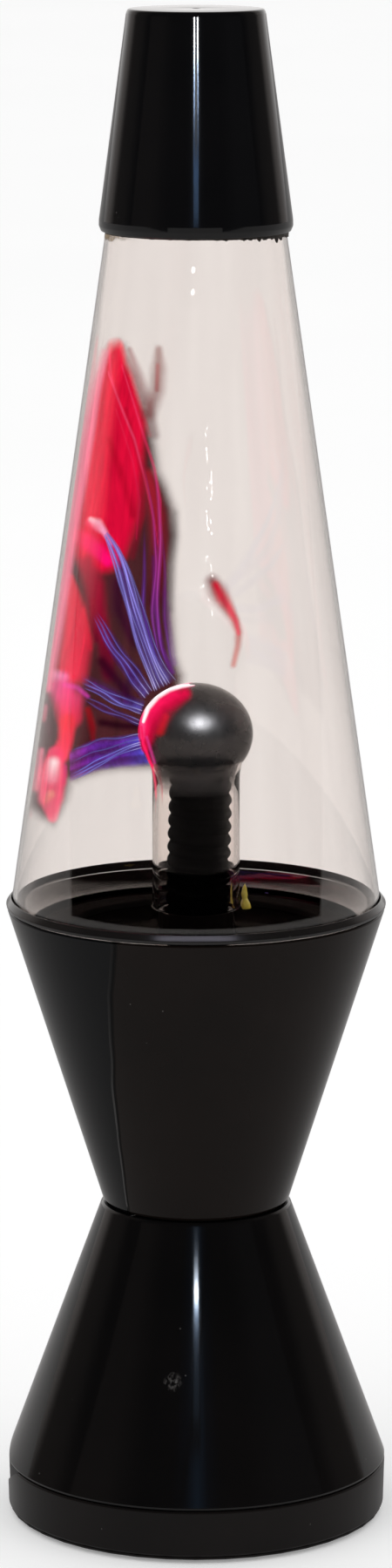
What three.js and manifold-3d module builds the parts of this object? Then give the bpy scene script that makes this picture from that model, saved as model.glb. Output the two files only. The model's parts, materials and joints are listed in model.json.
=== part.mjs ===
// Plasma lamp in the shape of a classic lava lamp: a tall conical glass vessel with
// a re-entrant glass electrode post, on a waisted two-cone base, under a conical cap.
// Units are millimetres, +Z is up, the origin is the centre of the footprint on the
// table. -Y is the front; the inlet and the switch are at the left, a little behind -X.
import * as THREE from "three";
import { mergeVertices } from "three/addons/utils/BufferGeometryUtils.js";
import Module from "manifold-3d";

const wasm = await Module();
wasm.setup();

// ---------------------------------------------------------------- driving sizes
const SEG = 40; // facets round every large turned piece, the same so that they nest
const GAP = 0.15; // clearance between neighbouring pieces

const H_TOTAL = 344.0; // table to the top of the cap

const FOOT_R = 4.5, FOOT_Z1 = 1.6, FOOT_PCR = 35.5; // rubber feet and their circle
const PLATE_Z0 = 0.6, PLATE_STEP_Z = 1.3, PLATE_Z1 = 3.2, PLATE_R = 42.9;

const BAND_Z0 = 1.45, BAND_Z1 = 12.1, BAND_R0 = 43.3, BAND_R1 = 43.6, BAND_T = 2.0;
const LCONE_Z0 = 12.3, LCONE_Z1 = 73.0, LCONE_R0 = 43.6, LCONE_R1 = 21.8, WALL = 2.1;
const UCONE_Z0 = 73.3, UCONE_Z1 = 141.8, UCONE_R0 = 21.4, UCONE_R1 = 42.95;
const BEZEL_Z0 = 142.0, BEZEL_ZC = 142.8, BEZEL_Z1 = 144.1, BEZEL_RC = 43.1;

// glass vessel: a straight cone, a rolled-in foot and a domed top under the cap
const GL_Z0 = 144.0, GL_R0 = 41.75; // where the foot's corner meets the cone
const GL_Z1 = 330.0, GL_R1 = 15.1; // where the dome begins
const GL_T = 1.5, GL_CORNER = 6.5, GL_FOOT_Z = 137.5, GL_HOLE = 12.9;

const STEM_R = 9.9, STEM_T = 1.2, BALL_R = 12.9, BALL_H = 11.4, BALL_Z = 181.6;
const SLEEVE_R = 7.4, SLEEVE_RI = 5.9, SLEEVE_PITCH = 3.0, SLEEVE_Z0 = 125.8, SLEEVE_Z1 = 173.8;

const CAP_Z0 = 295.0, CAP_R0 = 21.85, CAP_R1 = 15.4, CAP_T = 0.85;

const PANEL_PHI = 166, EYE_HALF = 24.5, EYE_UP = 4.3, EYE_DOWN = 8.2, EYE_Z = 12.2;
const SWITCH_PHI = 150, SWITCH_Z = 10.7, SWITCH_TRAVEL = 4.0;
const JACK_PHI = 174, JACK_Z = 10.3;
const BOSS_PHI = [40, 130, 220, 310], BOSS_PCR = 34.0;
const WAIST_PHI = [30, 150, 270], WAIST_PCR = 13.5;

// ---------------------------------------------------------------- colours
const mat = (color, roughness, metalness = 0, opacity = 1) =>
  new THREE.MeshStandardMaterial({ color, roughness, metalness, opacity, transparent: opacity < 1 });
const GLOSS_BLACK = mat(0x0c0b0b, 0.08);
const SATIN_BLACK = mat(0x141313, 0.35);
const RUBBER = mat(0x0e0e0e, 0.8);
const GLASS = mat(0xe6dcd6, 0.02, 0, 0.3);
const STEEL = mat(0xa9a9ac, 0.3, 1);
const COATING = mat(0x3b3835, 0.22, 0.9);
const YELLOW = mat(0xd6c21a, 0.4);
const FERRITE = mat(0x2b2b2d, 0.6, 0.1);
const GREEN = mat(0x1f6a3c, 0.5);
const ALU = mat(0xb9bcc0, 0.35, 1);
const BRASS = mat(0xb89a4a, 0.3, 1);
const SEALANT = mat(0x171310, 0.7);
const BLUE = mat(0x1b2f5c, 0.4);
const RED = mat(0x9c1a1a, 0.45);
const WHITE = mat(0xd8d6d0, 0.6);

// ---------------------------------------------------------------- geometry helpers
const rad = (deg) => (deg * Math.PI) / 180;
const polar = (r, deg) => [r * Math.cos(rad(deg)), r * Math.sin(rad(deg))];

function solid(geometry) {
  const g = (geometry.index ? geometry.toNonIndexed() : geometry.clone());
  for (const name of Object.keys(g.attributes)) if (name !== "position") g.deleteAttribute(name);
  const merged = mergeVertices(g, 1e-4);
  const src = merged.index.array, tri = [];
  for (let i = 0; i < src.length; i += 3) {
    const [a, b, c] = [src[i], src[i + 1], src[i + 2]];
    if (a !== b && b !== c && a !== c) tri.push(a, b, c);
  }
  const build = (t) =>
    new wasm.Manifold(
      new wasm.Mesh({ numProp: 3, vertProperties: merged.attributes.position.array, triVerts: new Uint32Array(t) }),
    );
  let made = build(tri);
  if (made.volume() < 0) {
    for (let i = 0; i < tri.length; i += 3) [tri[i + 1], tri[i + 2]] = [tri[i + 2], tri[i + 1]];
    made = build(tri);
  }
  return made;
}

function geometryOf(s) {
  const m = s.getMesh(), v = new Float32Array(m.numVert * 3);
  for (let i = 0; i < m.numVert; i++)
    v.set(m.vertProperties.subarray(i * m.numProp, i * m.numProp + 3), i * 3);
  const g = new THREE.BufferGeometry()
    .setAttribute("position", new THREE.BufferAttribute(v, 3))
    .setIndex(new THREE.BufferAttribute(new Uint32Array(m.triVerts), 1));
  g.computeVertexNormals();
  return g;
}

// A turned solid about +Z from [radius, height] points.
function turned(points, seg = SEG) {
  const g = new THREE.LatheGeometry(points.map(([r, z]) => new THREE.Vector2(r, z)), seg);
  g.rotateX(Math.PI / 2);
  return solid(g);
}
const ring = (points, seg = SEG) => turned([...points, points[0]], seg);
const place = (geometry, x, y, z) => geometry.applyMatrix4(new THREE.Matrix4().makeTranslation(x, y, z));

function cylinder(r, z0, z1, x = 0, y = 0, seg = 16) {
  const g = new THREE.CylinderGeometry(r, r, z1 - z0, seg);
  g.rotateX(Math.PI / 2);
  return solid(place(g, x, y, (z0 + z1) / 2));
}
function box(x0, x1, y0, y1, z0, z1) {
  return solid(place(new THREE.BoxGeometry(x1 - x0, y1 - y0, z1 - z0), (x0 + x1) / 2, (y0 + y1) / 2, (z0 + z1) / 2));
}
// In a wall piece's own frame: u runs along the wall, w is the distance from the lamp's
// axis and z is up. This carries that frame to angle phi round the axis.
const toWall = (phi) =>
  new THREE.Matrix4().makeBasis(
    new THREE.Vector3(-Math.sin(rad(phi)), Math.cos(rad(phi)), 0),
    new THREE.Vector3(Math.cos(rad(phi)), Math.sin(rad(phi)), 0),
    new THREE.Vector3(0, 0, 1),
  );
function wallBox(phi, u0, u1, w0, w1, z0, z1) {
  const g = place(new THREE.BoxGeometry(u1 - u0, w1 - w0, z1 - z0), (u0 + u1) / 2, (w0 + w1) / 2, (z0 + z1) / 2);
  return solid(g.applyMatrix4(toWall(phi)));
}
function wallCylinder(phi, r, w0, w1, z, seg = 20) {
  const g = place(new THREE.CylinderGeometry(r, r, w1 - w0, seg), 0, (w0 + w1) / 2, z);
  return solid(g.applyMatrix4(toWall(phi)));
}
const together = (...s) => s.reduce((a, b) => a.add(b));
const cutAll = (s, cuts) => cuts.reduce((a, b) => a.subtract(b), s);

// A wire along a smooth curve through points.
function wire(points, r, steps, sides = 6) {
  const path = new THREE.CatmullRomCurve3(points.map((p) => new THREE.Vector3(...p)), false, "centripetal");
  const section = new THREE.Shape();
  for (let i = 0; i < sides; i++) {
    const a = (2 * Math.PI * i) / sides;
    if (i) section.lineTo(r * Math.cos(a), r * Math.sin(a));
    else section.moveTo(r, 0);
  }
  section.closePath();
  return solid(new THREE.ExtrudeGeometry(section, { steps, extrudePath: path, bevelEnabled: false }));
}

// ---------------------------------------------------------------- group and placing
const lamp = new THREE.Group();
function add(name, s, material, parent = lamp) {
  const mesh = new THREE.Mesh(geometryOf(s.isBufferGeometry ? solid(s) : s), material);
  mesh.name = name;
  parent.add(mesh);
  return mesh;
}

// ---------------------------------------------------------------- outer profile
const rBand = (z) => BAND_R0 + ((z - BAND_Z0) * (BAND_R1 - BAND_R0)) / (BAND_Z1 - BAND_Z0);
const rLower = (z) => LCONE_R0 + ((z - LCONE_Z0) * (LCONE_R1 - LCONE_R0)) / (LCONE_Z1 - LCONE_Z0);
const rUpper = (z) => UCONE_R0 + ((z - UCONE_Z0) * (UCONE_R1 - UCONE_R0)) / (UCONE_Z1 - UCONE_Z0);
const rGlass = (z) => GL_R0 + ((z - GL_Z0) * (GL_R1 - GL_R0)) / (GL_Z1 - GL_Z0);
const rCap = (z) => CAP_R0 + ((z - CAP_Z0) * (CAP_R1 - CAP_R0)) / (H_TOTAL - CAP_Z0);

// The eye-shaped window for the inlet and the switch, as a prism through the wall.
function eye(grow) {
  const n = 14, half = EYE_HALF + grow * 1.6, up = [], down = [];
  for (let i = 0; i <= n; i++) {
    const u = -half + (2 * half * i) / n;
    const k = 0.5 + 0.5 * Math.cos((Math.PI * u) / half);
    up.push([u, EYE_Z + 0.02 + Math.max(0, (EYE_UP + grow) * k)]);
    down.push([u, EYE_Z - 0.02 - Math.max(0, (EYE_DOWN + grow) * Math.sqrt(k))]);
  }
  const outline = [...down, ...up.reverse()];
  const shape = new THREE.Shape(outline.map(([u, z]) => new THREE.Vector2(u, z)));
  const g = new THREE.ExtrudeGeometry(shape, { depth: 24, bevelEnabled: false });
  // extruded along its own +Z: turn that into the distance from the axis
  g.applyMatrix4(new THREE.Matrix4().set(1, 0, 0, 0, 0, 0, 1, 26, 0, 1, 0, 0, 0, 0, 0, 1));
  return solid(g.applyMatrix4(toWall(PANEL_PHI)));
}
const window = eye(0);

// ---------------------------------------------------------------- base
// Bottom cover: a stepped disc with counterbored screw holes, foot recesses and posts.
{
  let s = turned([[0, PLATE_Z0], [PLATE_R - 0.5, PLATE_Z0], [PLATE_R, PLATE_Z0 + 0.3], [PLATE_R, PLATE_STEP_Z],
    [41.5, PLATE_STEP_Z], [41.5, PLATE_Z1], [0, PLATE_Z1]]);
  for (const [x, y] of [[-10, 13], [-10, -13], [26, 0]]) s = s.add(cylinder(2.6, PLATE_Z1 - 0.5, 8.85, x, y, 10));
  const cuts = [];
  for (const phi of BOSS_PHI) {
    const [x, y] = polar(BOSS_PCR, phi);
    cuts.push(cylinder(1.6, 0, 5, x, y, 10), cylinder(2.95, 0, 2.1, x, y, 12));
  }
  for (const phi of BOSS_PHI) {
    const [x, y] = polar(FOOT_PCR, phi + 45);
    cuts.push(cylinder(FOOT_R + GAP, 0, FOOT_Z1 + GAP, x, y, 16));
  }
  for (const [x, y] of [[-10, 13], [-10, -13], [26, 0]]) cuts.push(cylinder(1.2, 4.0, 10, x, y, 10));
  add("bottom_cover", cutAll(s, cuts), SATIN_BLACK);
}
BOSS_PHI.forEach((phi, i) => {
  const [x, y] = polar(FOOT_PCR, phi + 45);
  add("foot_" + (i + 1), place(new THREE.CylinderGeometry(FOOT_R, FOOT_R - 0.3, FOOT_Z1, 16).rotateX(Math.PI / 2), x, y, FOOT_Z1 / 2), RUBBER);
});
// A cross-recessed pan-head screw pointing up, with its head at z0.
function screw(headR, headH, shankR, length, seg = 10) {
  let s = turned([[0, 0], [headR - 0.4, 0], [headR, 0.4], [headR, headH], [shankR, headH], [shankR, headH + length - 1.2], [0.2, headH + length], [0, headH + length]], seg);
  const bar = (a, b) => box(-a, a, -b, b, -0.5, headH * 0.55);
  return s.subtract(bar(headR * 0.6, 0.3).add(bar(0.3, headR * 0.6)));
}
BOSS_PHI.forEach((phi, i) => {
  const [x, y] = polar(BOSS_PCR, phi);
  add("bottom_screw_" + (i + 1), screw(2.7, 1.4, 1.25, 9), STEEL).position.set(x, y, 0.65);
});
// Band: the plain ring between the cover and the lower cone, with the window's lower half.
{
  const s = ring([[BAND_R0 - 0.5, BAND_Z0], [BAND_R0, BAND_Z0 + 0.5], [BAND_R1, BAND_Z1 - 0.3], [BAND_R1 - 0.3, BAND_Z1],
    [BAND_R1 - BAND_T, BAND_Z1], [BAND_R0 - BAND_T + 0.4, BAND_Z0]]);
  add("base_band", s.subtract(window), SATIN_BLACK);
}
// Lower cone with its screw bosses and a top plate with the cable hole.
{
  let s = turned([[0, LCONE_Z1], [LCONE_R1 - 0.4, LCONE_Z1], [LCONE_R1, LCONE_Z1 - 0.4], [LCONE_R0, LCONE_Z0 + 0.5], [LCONE_R0 - 0.4, LCONE_Z0],
    [LCONE_R0 - WALL, LCONE_Z0], [LCONE_R0 - WALL, LCONE_Z0 + 0.8], [rLower(LCONE_Z1 - 2.2) - WALL, LCONE_Z1 - 2.2], [0, LCONE_Z1 - 2.2]]);
  const inside = turned([[0, 3.4], [LCONE_R0 - 0.8, 3.4], [LCONE_R0 - 0.8, LCONE_Z0], [LCONE_R1 - 0.8, LCONE_Z1 - 0.8], [0, LCONE_Z1 - 0.8]]);
  for (const phi of BOSS_PHI) {
    const [x, y] = polar(BOSS_PCR, phi);
    s = s.add(cylinder(3.2, 3.4, 36, x, y, 12).intersect(inside));
  }
  const cuts = [window, cylinder(6, 68, 75, 0, 0, 20)];
  for (const phi of BOSS_PHI) {
    const [x, y] = polar(BOSS_PCR, phi);
    cuts.push(cylinder(1.4, 2, 16, x, y, 10));
  }
  for (const phi of WAIST_PHI) {
    const [x, y] = polar(WAIST_PCR, phi);
    cuts.push(cylinder(1.6, 68, 75, x, y, 10));
  }
  add("lower_cone", cutAll(s, cuts), GLOSS_BLACK);
}
// ---------------------------------------------------------------- control panel
const wallProfile = (off) => {
  const pts = [];
  for (const z of [3.4, BAND_Z1]) pts.push([rBand(z) - off, z]);
  for (const z of [LCONE_Z0 + 0.1, 20.6]) pts.push([rLower(z) - off, z]);
  return pts;
};
const wallLayer = (o, i) => ring([...wallProfile(o), ...wallProfile(i).reverse()]);
{
  let s = together(wallLayer(0.4, 2.6).intersect(eye(-0.25)), wallLayer(WALL + 0.25, WALL + 1.7).intersect(eye(1.3)));
  s = cutAll(s, [wallCylinder(JACK_PHI, 4.2, 30, 50, JACK_Z), wallBox(SWITCH_PHI, -4.3, 4.3, 30, 50, SWITCH_Z - 1.7, SWITCH_Z + 1.7)]);
  add("control_panel", s, SATIN_BLACK);
}
// Inlet: a barrel socket with its own centre pin.
{
  const s = together(wallCylinder(JACK_PHI, 4.0, 37, 42.9, JACK_Z), wallCylinder(JACK_PHI, 5.4, 29.5, 37.6, JACK_Z));
  add("dc_jack", s.subtract(wallCylinder(JACK_PHI, 3.2, 33, 46, JACK_Z)), SATIN_BLACK);
  add("dc_jack_pin", wallCylinder(JACK_PHI, 1.0, 33.15, 42.0, JACK_Z, 12), BRASS);
}
// Slide switch: body with a pocket for the slider, and the slider at its off end.
{
  const s = wallBox(SWITCH_PHI, -6.5, 6.5, 32.4, 38.1, SWITCH_Z - 3.2, SWITCH_Z + 3.2)
    .subtract(wallBox(SWITCH_PHI, -4.25, 4.25, 34.6, 45, SWITCH_Z - 1.75, SWITCH_Z + 1.75));
  add("switch_body", s, STEEL);
  const u0 = -SWITCH_TRAVEL / 2;
  let k = wallBox(SWITCH_PHI, u0 - 1.9, u0 + 1.9, 34.85, 44.6, SWITCH_Z - 1.5, SWITCH_Z + 1.5);
  for (const u of [-1, 0, 1]) k = k.subtract(wallBox(SWITCH_PHI, u0 + u - 0.18, u0 + u + 0.18, 44.2, 46, SWITCH_Z - 3, SWITCH_Z + 3));
  add("switch_slider", k, SATIN_BLACK);
}

// ---------------------------------------------------------------- electronics
{
  let s = box(-14, 30, -17, 17, 9.0, 10.6);
  for (const [x, y] of [[-10, 13], [-10, -13], [26, 0]]) s = s.subtract(cylinder(1.3, 8, 12, x, y, 10));
  add("driver_board", s, GREEN);
  [[-10, 13], [-10, -13], [26, 0]].forEach(([x, y], i) => {
    const m = add("board_screw_" + (i + 1), screw(2.2, 1.2, 1.0, 5.2), STEEL);
    m.position.set(x, y, 11.95);
    m.rotation.x = Math.PI;
  });
}
{
  // ferrite frame with two windows, and the wound bobbin on its centre leg
  const core = box(-4, 22, -4, 4, 10.75, 32.5);
  add("transformer_core", core.subtract(box(-0.4, 6, -5, 5, 14.9, 28.9)).subtract(box(12, 18.4, -5, 5, 14.9, 28.9)), FERRITE);
  const rounded = (a, b, r) => {
    const p = [];
    for (let i = 0; i < 4; i++)
      for (let j = 0; j <= 3; j++) {
        const t = rad(90 * i + 30 * j), sx = i === 0 || i === 3 ? 1 : -1, sy = i < 2 ? 1 : -1;
        p.push(new THREE.Vector2(sx * (a - r) + r * Math.cos(t), sy * (b - r) + r * Math.sin(t)));
      }
    return p;
  };
  const coil = new THREE.Shape(rounded(9.2, 10.2, 3));
  coil.holes.push(new THREE.Path(rounded(3.15, 4.15, 0.5)));
  add("transformer_coil", solid(place(new THREE.ExtrudeGeometry(coil, { depth: 13.6, bevelEnabled: false }), 9, 0, 15.1)), YELLOW);
}
add("filter_capacitor", turned([[0, 0], [4.4, 0], [4.6, 0.4], [4.6, 11.6], [4.2, 12], [0, 12]], 16), BLUE).position.set(-9.2, -2, 10.75);
add("timing_capacitor", turned([[0, 0], [3, 0], [3, 7.6], [2.7, 8], [0, 8]], 12), BLUE).position.set(-4, 11.5, 10.75);
add("heat_sink", box(24.4, 26, 5.6, 16.4, 10.75, 28).add(box(24.4, 29.6, 5.6, 7, 10.75, 28)).add(box(24.4, 29.6, 15, 16.4, 10.75, 28)).add(box(24.4, 29.6, 10.3, 11.7, 10.75, 28)), ALU);
add("transistor", box(22.9, 24.25, 6.2, 15.8, 12, 26).add(box(20.6, 23.5, 6.2, 15.8, 12, 20.5)), SATIN_BLACK);

// ---------------------------------------------------------------- waist
WAIST_PHI.forEach((phi, i) => {
  const [x, y] = polar(WAIST_PCR, phi);
  add("waist_screw_" + (i + 1), screw(2.7, 1.4, 1.25, 11), STEEL).position.set(x, y, LCONE_Z1 - 2.2 - GAP - 1.4);
});

// ---------------------------------------------------------------- upper cone and seat
const LEDGE_Z = 133.4;
{
  let s = turned([[0, UCONE_Z0], [UCONE_R0 - 0.9, UCONE_Z0], [UCONE_R0 - 0.1, UCONE_Z0 + 0.7], [UCONE_R1, UCONE_Z1],
    [UCONE_R1 - 1.35, UCONE_Z1], [rUpper(LEDGE_Z) - 1.6, LEDGE_Z], [rUpper(LEDGE_Z) - 3.6, LEDGE_Z], [rUpper(LEDGE_Z - 3) - 3.0, LEDGE_Z - 3],
    [rUpper(UCONE_Z0 + 2.2) - WALL, UCONE_Z0 + 2.2], [0, UCONE_Z0 + 2.2]]);
  const cuts = [cylinder(6, 70, 80, 0, 0, 20)];
  for (const phi of WAIST_PHI) {
    const [x, y] = polar(WAIST_PCR, phi);
    s = s.add(cylinder(3.1, UCONE_Z0 + 1, 86, x, y, 10));
    cuts.push(cylinder(1.4, 70, 84, x, y, 10));
  }
  add("upper_cone", cutAll(s, cuts), GLOSS_BLACK);
}
add("bezel_ring", ring([[BEZEL_RC - 0.35, BEZEL_Z0], [BEZEL_RC, BEZEL_ZC - 0.1], [BEZEL_RC, BEZEL_ZC + 0.1], [42.15, BEZEL_Z1], [41.9, BEZEL_Z1 + 0.02], [41.8, BEZEL_Z0]]), SATIN_BLACK);
add("glass_seat", ring([[9.1, LEDGE_Z + 0.2], [38.6, LEDGE_Z + 0.2], [38.9, LEDGE_Z + 0.6], [38.9, LEDGE_Z + 2.4], [9.1, LEDGE_Z + 2.4]]), SATIN_BLACK);
add("seat_gasket", ring([[29, LEDGE_Z + 2.55], [35.4, LEDGE_Z + 2.55], [35.4, GL_FOOT_Z - 0.1], [29, GL_FOOT_Z - 0.1]]), RUBBER);
add("post_collar", ring([[7.65, 130.6], [11.6, 130.6], [11.6, LEDGE_Z + 0.05], [8.95, LEDGE_Z + 0.05], [8.5, 141], [7.65, 141]], 24), SATIN_BLACK);

// ---------------------------------------------------------------- glass
{
  const outer = [], inner = [], n = 3;
  for (let i = 0; i <= n; i++) {
    const a = rad(-90 + (82 * i) / n);
    outer.push([GL_R0 - GL_CORNER + GL_CORNER * Math.cos(a), GL_Z0 + GL_CORNER * Math.sin(a)]);
    inner.push([GL_R0 - GL_CORNER + (GL_CORNER - GL_T) * Math.cos(a), GL_Z0 + (GL_CORNER - GL_T) * Math.sin(a)]);
  }
  for (let i = 0; i <= 3; i++) {
    const a = rad(8 + (82 * i) / 3), ci = GL_R1 - 7.5, cz = GL_Z1 + 0.4;
    const last = i === 3;
    outer.push([last ? 0 : ci + 7.4 * Math.cos(a), cz + 7.6 * Math.sin(a)]);
    inner.push([last ? 0 : ci + 5.9 * Math.cos(a), cz + 6.1 * Math.sin(a)]);
  }
  add("glass_vessel", turned([...inner.reverse(), [GL_HOLE, GL_FOOT_Z + GL_T], [GL_HOLE, GL_FOOT_Z], ...outer]), GLASS);
}
{
  const rs = STEM_R - STEM_T, ri = BALL_R - STEM_T, hi = BALL_H - STEM_T;
  const out = [[GL_HOLE - GAP, GL_FOOT_Z], [GL_HOLE - GAP, GL_FOOT_Z + GL_T], [10.9, GL_FOOT_Z + 2.2], [STEM_R, GL_FOOT_Z + 4.2], [STEM_R, 171]];
  const inn = [[10.3, GL_FOOT_Z], [rs, GL_FOOT_Z + 3.6], [rs, 171.6]];
  const n = 6;
  for (let i = 0; i <= n; i++) {
    const a = rad(-36 + (126 * i) / n);
    out.push([i === n ? 0 : BALL_R * Math.cos(a), BALL_Z + BALL_H * Math.sin(a)]);
    inn.push([i === n ? 0 : ri * Math.cos(a), BALL_Z + hi * Math.sin(a)]);
  }
  add("glass_post", turned([...inn.reverse(), ...out], 24), GLASS);
}
{
  const r1 = BALL_R - STEM_T - 0.2, h1 = BALL_H - STEM_T - 0.2, out = [], inn = [];
  for (let i = 0; i <= 5; i++) {
    const a = rad(90 - 21 * i);
    out.push([i ? r1 * Math.cos(a) : 0, BALL_Z + h1 * Math.sin(a)]);
    inn.push([i ? (r1 - 0.5) * Math.cos(a) : 0, BALL_Z + (h1 - 0.5) * Math.sin(a)]);
  }
  add("electrode_lining", turned([...inn, ...out.reverse()], 24), COATING);
}
{
  const pts = [[SLEEVE_RI, SLEEVE_Z0]];
  const n = Math.round((SLEEVE_Z1 - SLEEVE_Z0) / SLEEVE_PITCH);
  for (let i = 0; i < n; i++) {
    const z = SLEEVE_Z0 + i * SLEEVE_PITCH;
    pts.push([SLEEVE_R - 0.55, z], [SLEEVE_R, z + SLEEVE_PITCH / 2]);
  }
  pts.push([SLEEVE_R - 0.5, SLEEVE_Z1], [SLEEVE_RI, SLEEVE_Z1]);
  add("ribbed_sleeve", ring(pts, 14), RUBBER);
}
add("contact_wool", turned([[0, 185.4], [3.4, 185.8], [4.9, 187.0], [4.3, 188.6], [0, 189.6]], 12), STEEL);
add("exhaust_tip", turned([[0, 0], [1.5, 0], [0.95, 1.2], [0.85, 3.6], [0.5, 5.2], [0, 5.9]], 12), YELLOW).position.set(11.2, 9.6, GL_FOOT_Z + GL_T + 0.06);

// ---------------------------------------------------------------- wires
add("ht_lead", wire([[9, 7.5, 28.9], [9, 7.5, 37], [4, 3.5, 54], [0, 0, 68], [0, 0, 80], [1.8, 0.6, 112], [1.2, 0.4, 150], [0, 0, 172], [0, 0, 185.1]], 1.2, 22), YELLOW);
{
  const j = (w, u, z) => new THREE.Vector3(u, w, z).applyMatrix4(toWall(JACK_PHI)).toArray();
  const k = (w, u, z) => new THREE.Vector3(u, w, z).applyMatrix4(toWall(SWITCH_PHI)).toArray();
  add("supply_lead_red", wire([j(29.2, -1.6, 11), j(27, -2.4, 12.6), k(27.6, 3.4, 14.2), k(30, 2.5, 12.5), k(32.1, 2.2, 11.3)], 0.65, 10), RED);
  add("supply_lead_black", wire([j(29.2, 1.6, 10), j(26, 2.2, 12), [-19, -5, 14.2], [-13.4, -11, 13.2], [-12.8, -11.2, 10.75]], 0.65, 10), RUBBER);
  add("switch_lead_red", wire([k(32.1, -2.2, 11.3), k(29, -3.2, 13), [-19, 17.5, 14.4], [-12.8, 8.4, 13.2], [-12.6, 8.2, 10.75]], 0.65, 10), RED);
}

// ---------------------------------------------------------------- cap
{
  const zi = H_TOTAL - 2.4;
  add("cap", turned([[0, H_TOTAL - 0.7], [0.7, H_TOTAL - 0.7], [0.9, H_TOTAL], [CAP_R1 - 0.9, H_TOTAL], [CAP_R1 - 0.2, H_TOTAL - 0.35], [CAP_R1 + 0.05, H_TOTAL - 1.1],
    [CAP_R0 - 0.22, CAP_Z0 + 1.6], [CAP_R0 - 0.35, CAP_Z0 + 0.6], [CAP_R0 - 0.75, CAP_Z0],
    [CAP_R0 - CAP_T - 0.05, CAP_Z0 + 0.2], [rCap(zi) - CAP_T - 0.1, zi], [0, zi]]), GLOSS_BLACK);
}
{
  const zs = [294.4, 302.5];
  const inside = (z) => rGlass(z) + 0.1, outside = (z) => Math.min(rCap(z) - CAP_T - 0.2, rGlass(z) + 0.62);
  add("cap_sealant", ring([[inside(zs[0]), zs[0]], [outside(zs[0]), zs[0]], [outside(zs[1]), zs[1]], [inside(zs[1]), zs[1]]]), SEALANT);
}

export default lamp;
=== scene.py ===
"""Looks of the plasma lamp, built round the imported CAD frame. Metres, +Z up, -Y front."""

import bpy
import json
import math
import numpy as np
from mathutils import Matrix, Vector


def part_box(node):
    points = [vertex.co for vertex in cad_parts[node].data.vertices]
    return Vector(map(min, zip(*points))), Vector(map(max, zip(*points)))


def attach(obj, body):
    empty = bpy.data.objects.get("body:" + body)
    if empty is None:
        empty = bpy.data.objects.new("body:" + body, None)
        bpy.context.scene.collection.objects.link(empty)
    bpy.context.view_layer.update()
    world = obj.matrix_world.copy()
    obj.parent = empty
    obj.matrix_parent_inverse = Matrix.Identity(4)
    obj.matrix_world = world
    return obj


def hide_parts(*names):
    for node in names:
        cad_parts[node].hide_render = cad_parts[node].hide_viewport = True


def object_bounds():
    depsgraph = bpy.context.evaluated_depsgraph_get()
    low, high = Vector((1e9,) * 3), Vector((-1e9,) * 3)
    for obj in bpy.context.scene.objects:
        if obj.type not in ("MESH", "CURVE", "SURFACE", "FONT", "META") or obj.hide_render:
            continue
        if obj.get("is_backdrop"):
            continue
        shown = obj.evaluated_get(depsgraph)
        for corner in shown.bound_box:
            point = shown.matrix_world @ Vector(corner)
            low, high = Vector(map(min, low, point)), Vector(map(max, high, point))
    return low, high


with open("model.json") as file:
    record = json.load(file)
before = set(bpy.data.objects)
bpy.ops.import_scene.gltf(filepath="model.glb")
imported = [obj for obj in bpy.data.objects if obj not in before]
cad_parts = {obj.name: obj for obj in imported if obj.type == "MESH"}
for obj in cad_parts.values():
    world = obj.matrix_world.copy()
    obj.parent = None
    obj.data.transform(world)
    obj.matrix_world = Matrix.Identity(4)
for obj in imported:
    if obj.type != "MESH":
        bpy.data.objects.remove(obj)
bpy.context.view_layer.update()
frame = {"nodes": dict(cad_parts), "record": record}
BODY, SLIDER = "lamp", "slider"
scene = bpy.context.scene
MM = 0.001

# ------------------------------------------------------------------ settings
KNIT = -2.7136
GLASS_A, GLASS_B = (0.925, 0.882, 0.860), (0.955, 0.915, 0.892)
DARK = (66, 16, 24)
FILM_GAIN, FAN_GAIN, THREAD_GAIN, BALL_GAIN = 1.2, 1.0, 1.25, 1.3
FLOOR_GLOW = 0.24
STRIP_W, STRIP_X, LOW_W = 0.17, 0.0, 0.12
CAP_RAMP = [(0.146, (0.0037, 0.007, 0.013)), (0.203, (0.0033, 0.0091, 0.0212)), (0.281, (0.003, 0.008, 0.0194)), (0.359, (0.0021, 0.0033, 0.0056)), (0.436, (0.0194, 0.0319, 0.0578)), (0.509, (0.1384, 0.1946, 0.305)), (0.579, (0.0369, 0.0648, 0.1119)), (0.669, (0.402, 0.5776, 0.8388)), (0.731, (0.9911, 0.9911, 1.0)), (0.773, (0.9911, 0.9911, 1.0))]
LOW_RAMP = [(0.351, (0.0015, 0.0024, 0.0037)), (0.511, (0.0024, 0.004, 0.007)), (0.575, (0.0027, 0.006, 0.0116)), (0.623, (0.004, 0.008, 0.0176)), (0.671, (0.0091, 0.0232, 0.0452)), (0.703, (0.0319, 0.0578, 0.107)), (0.727, (0.1248, 0.1878, 0.2961)), (0.751, (0.3763, 0.6105, 0.9047)), (0.775, (1.0, 1.0, 1.0)), (0.818, (1.0, 1.0, 1.0)), (0.844, (0.2232, 0.3515, 0.5776)), (0.86, (0.0612, 0.0723, 0.0887))]
CAP_GAIN, LOW_GAIN, RIM_GAIN = 165.0, 100.0, 3.0
PANELS = [(-14.0, -1.1, [(0.0, (1.0, 0.86, 0.78)), (0.90, (1.0, 0.86, 0.78)), (1.0, (0.0, 0.0, 0.0))], 0.06), (1.0, 14.0, [(0.0, (0.0, 0.0, 0.0)), (0.09, (0.9, 0.95, 1.0)), (1.0, (0.9, 0.95, 1.0))], 0.03)]
BALL_KEY = 135.0
DASH_GAIN = 40.0
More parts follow.
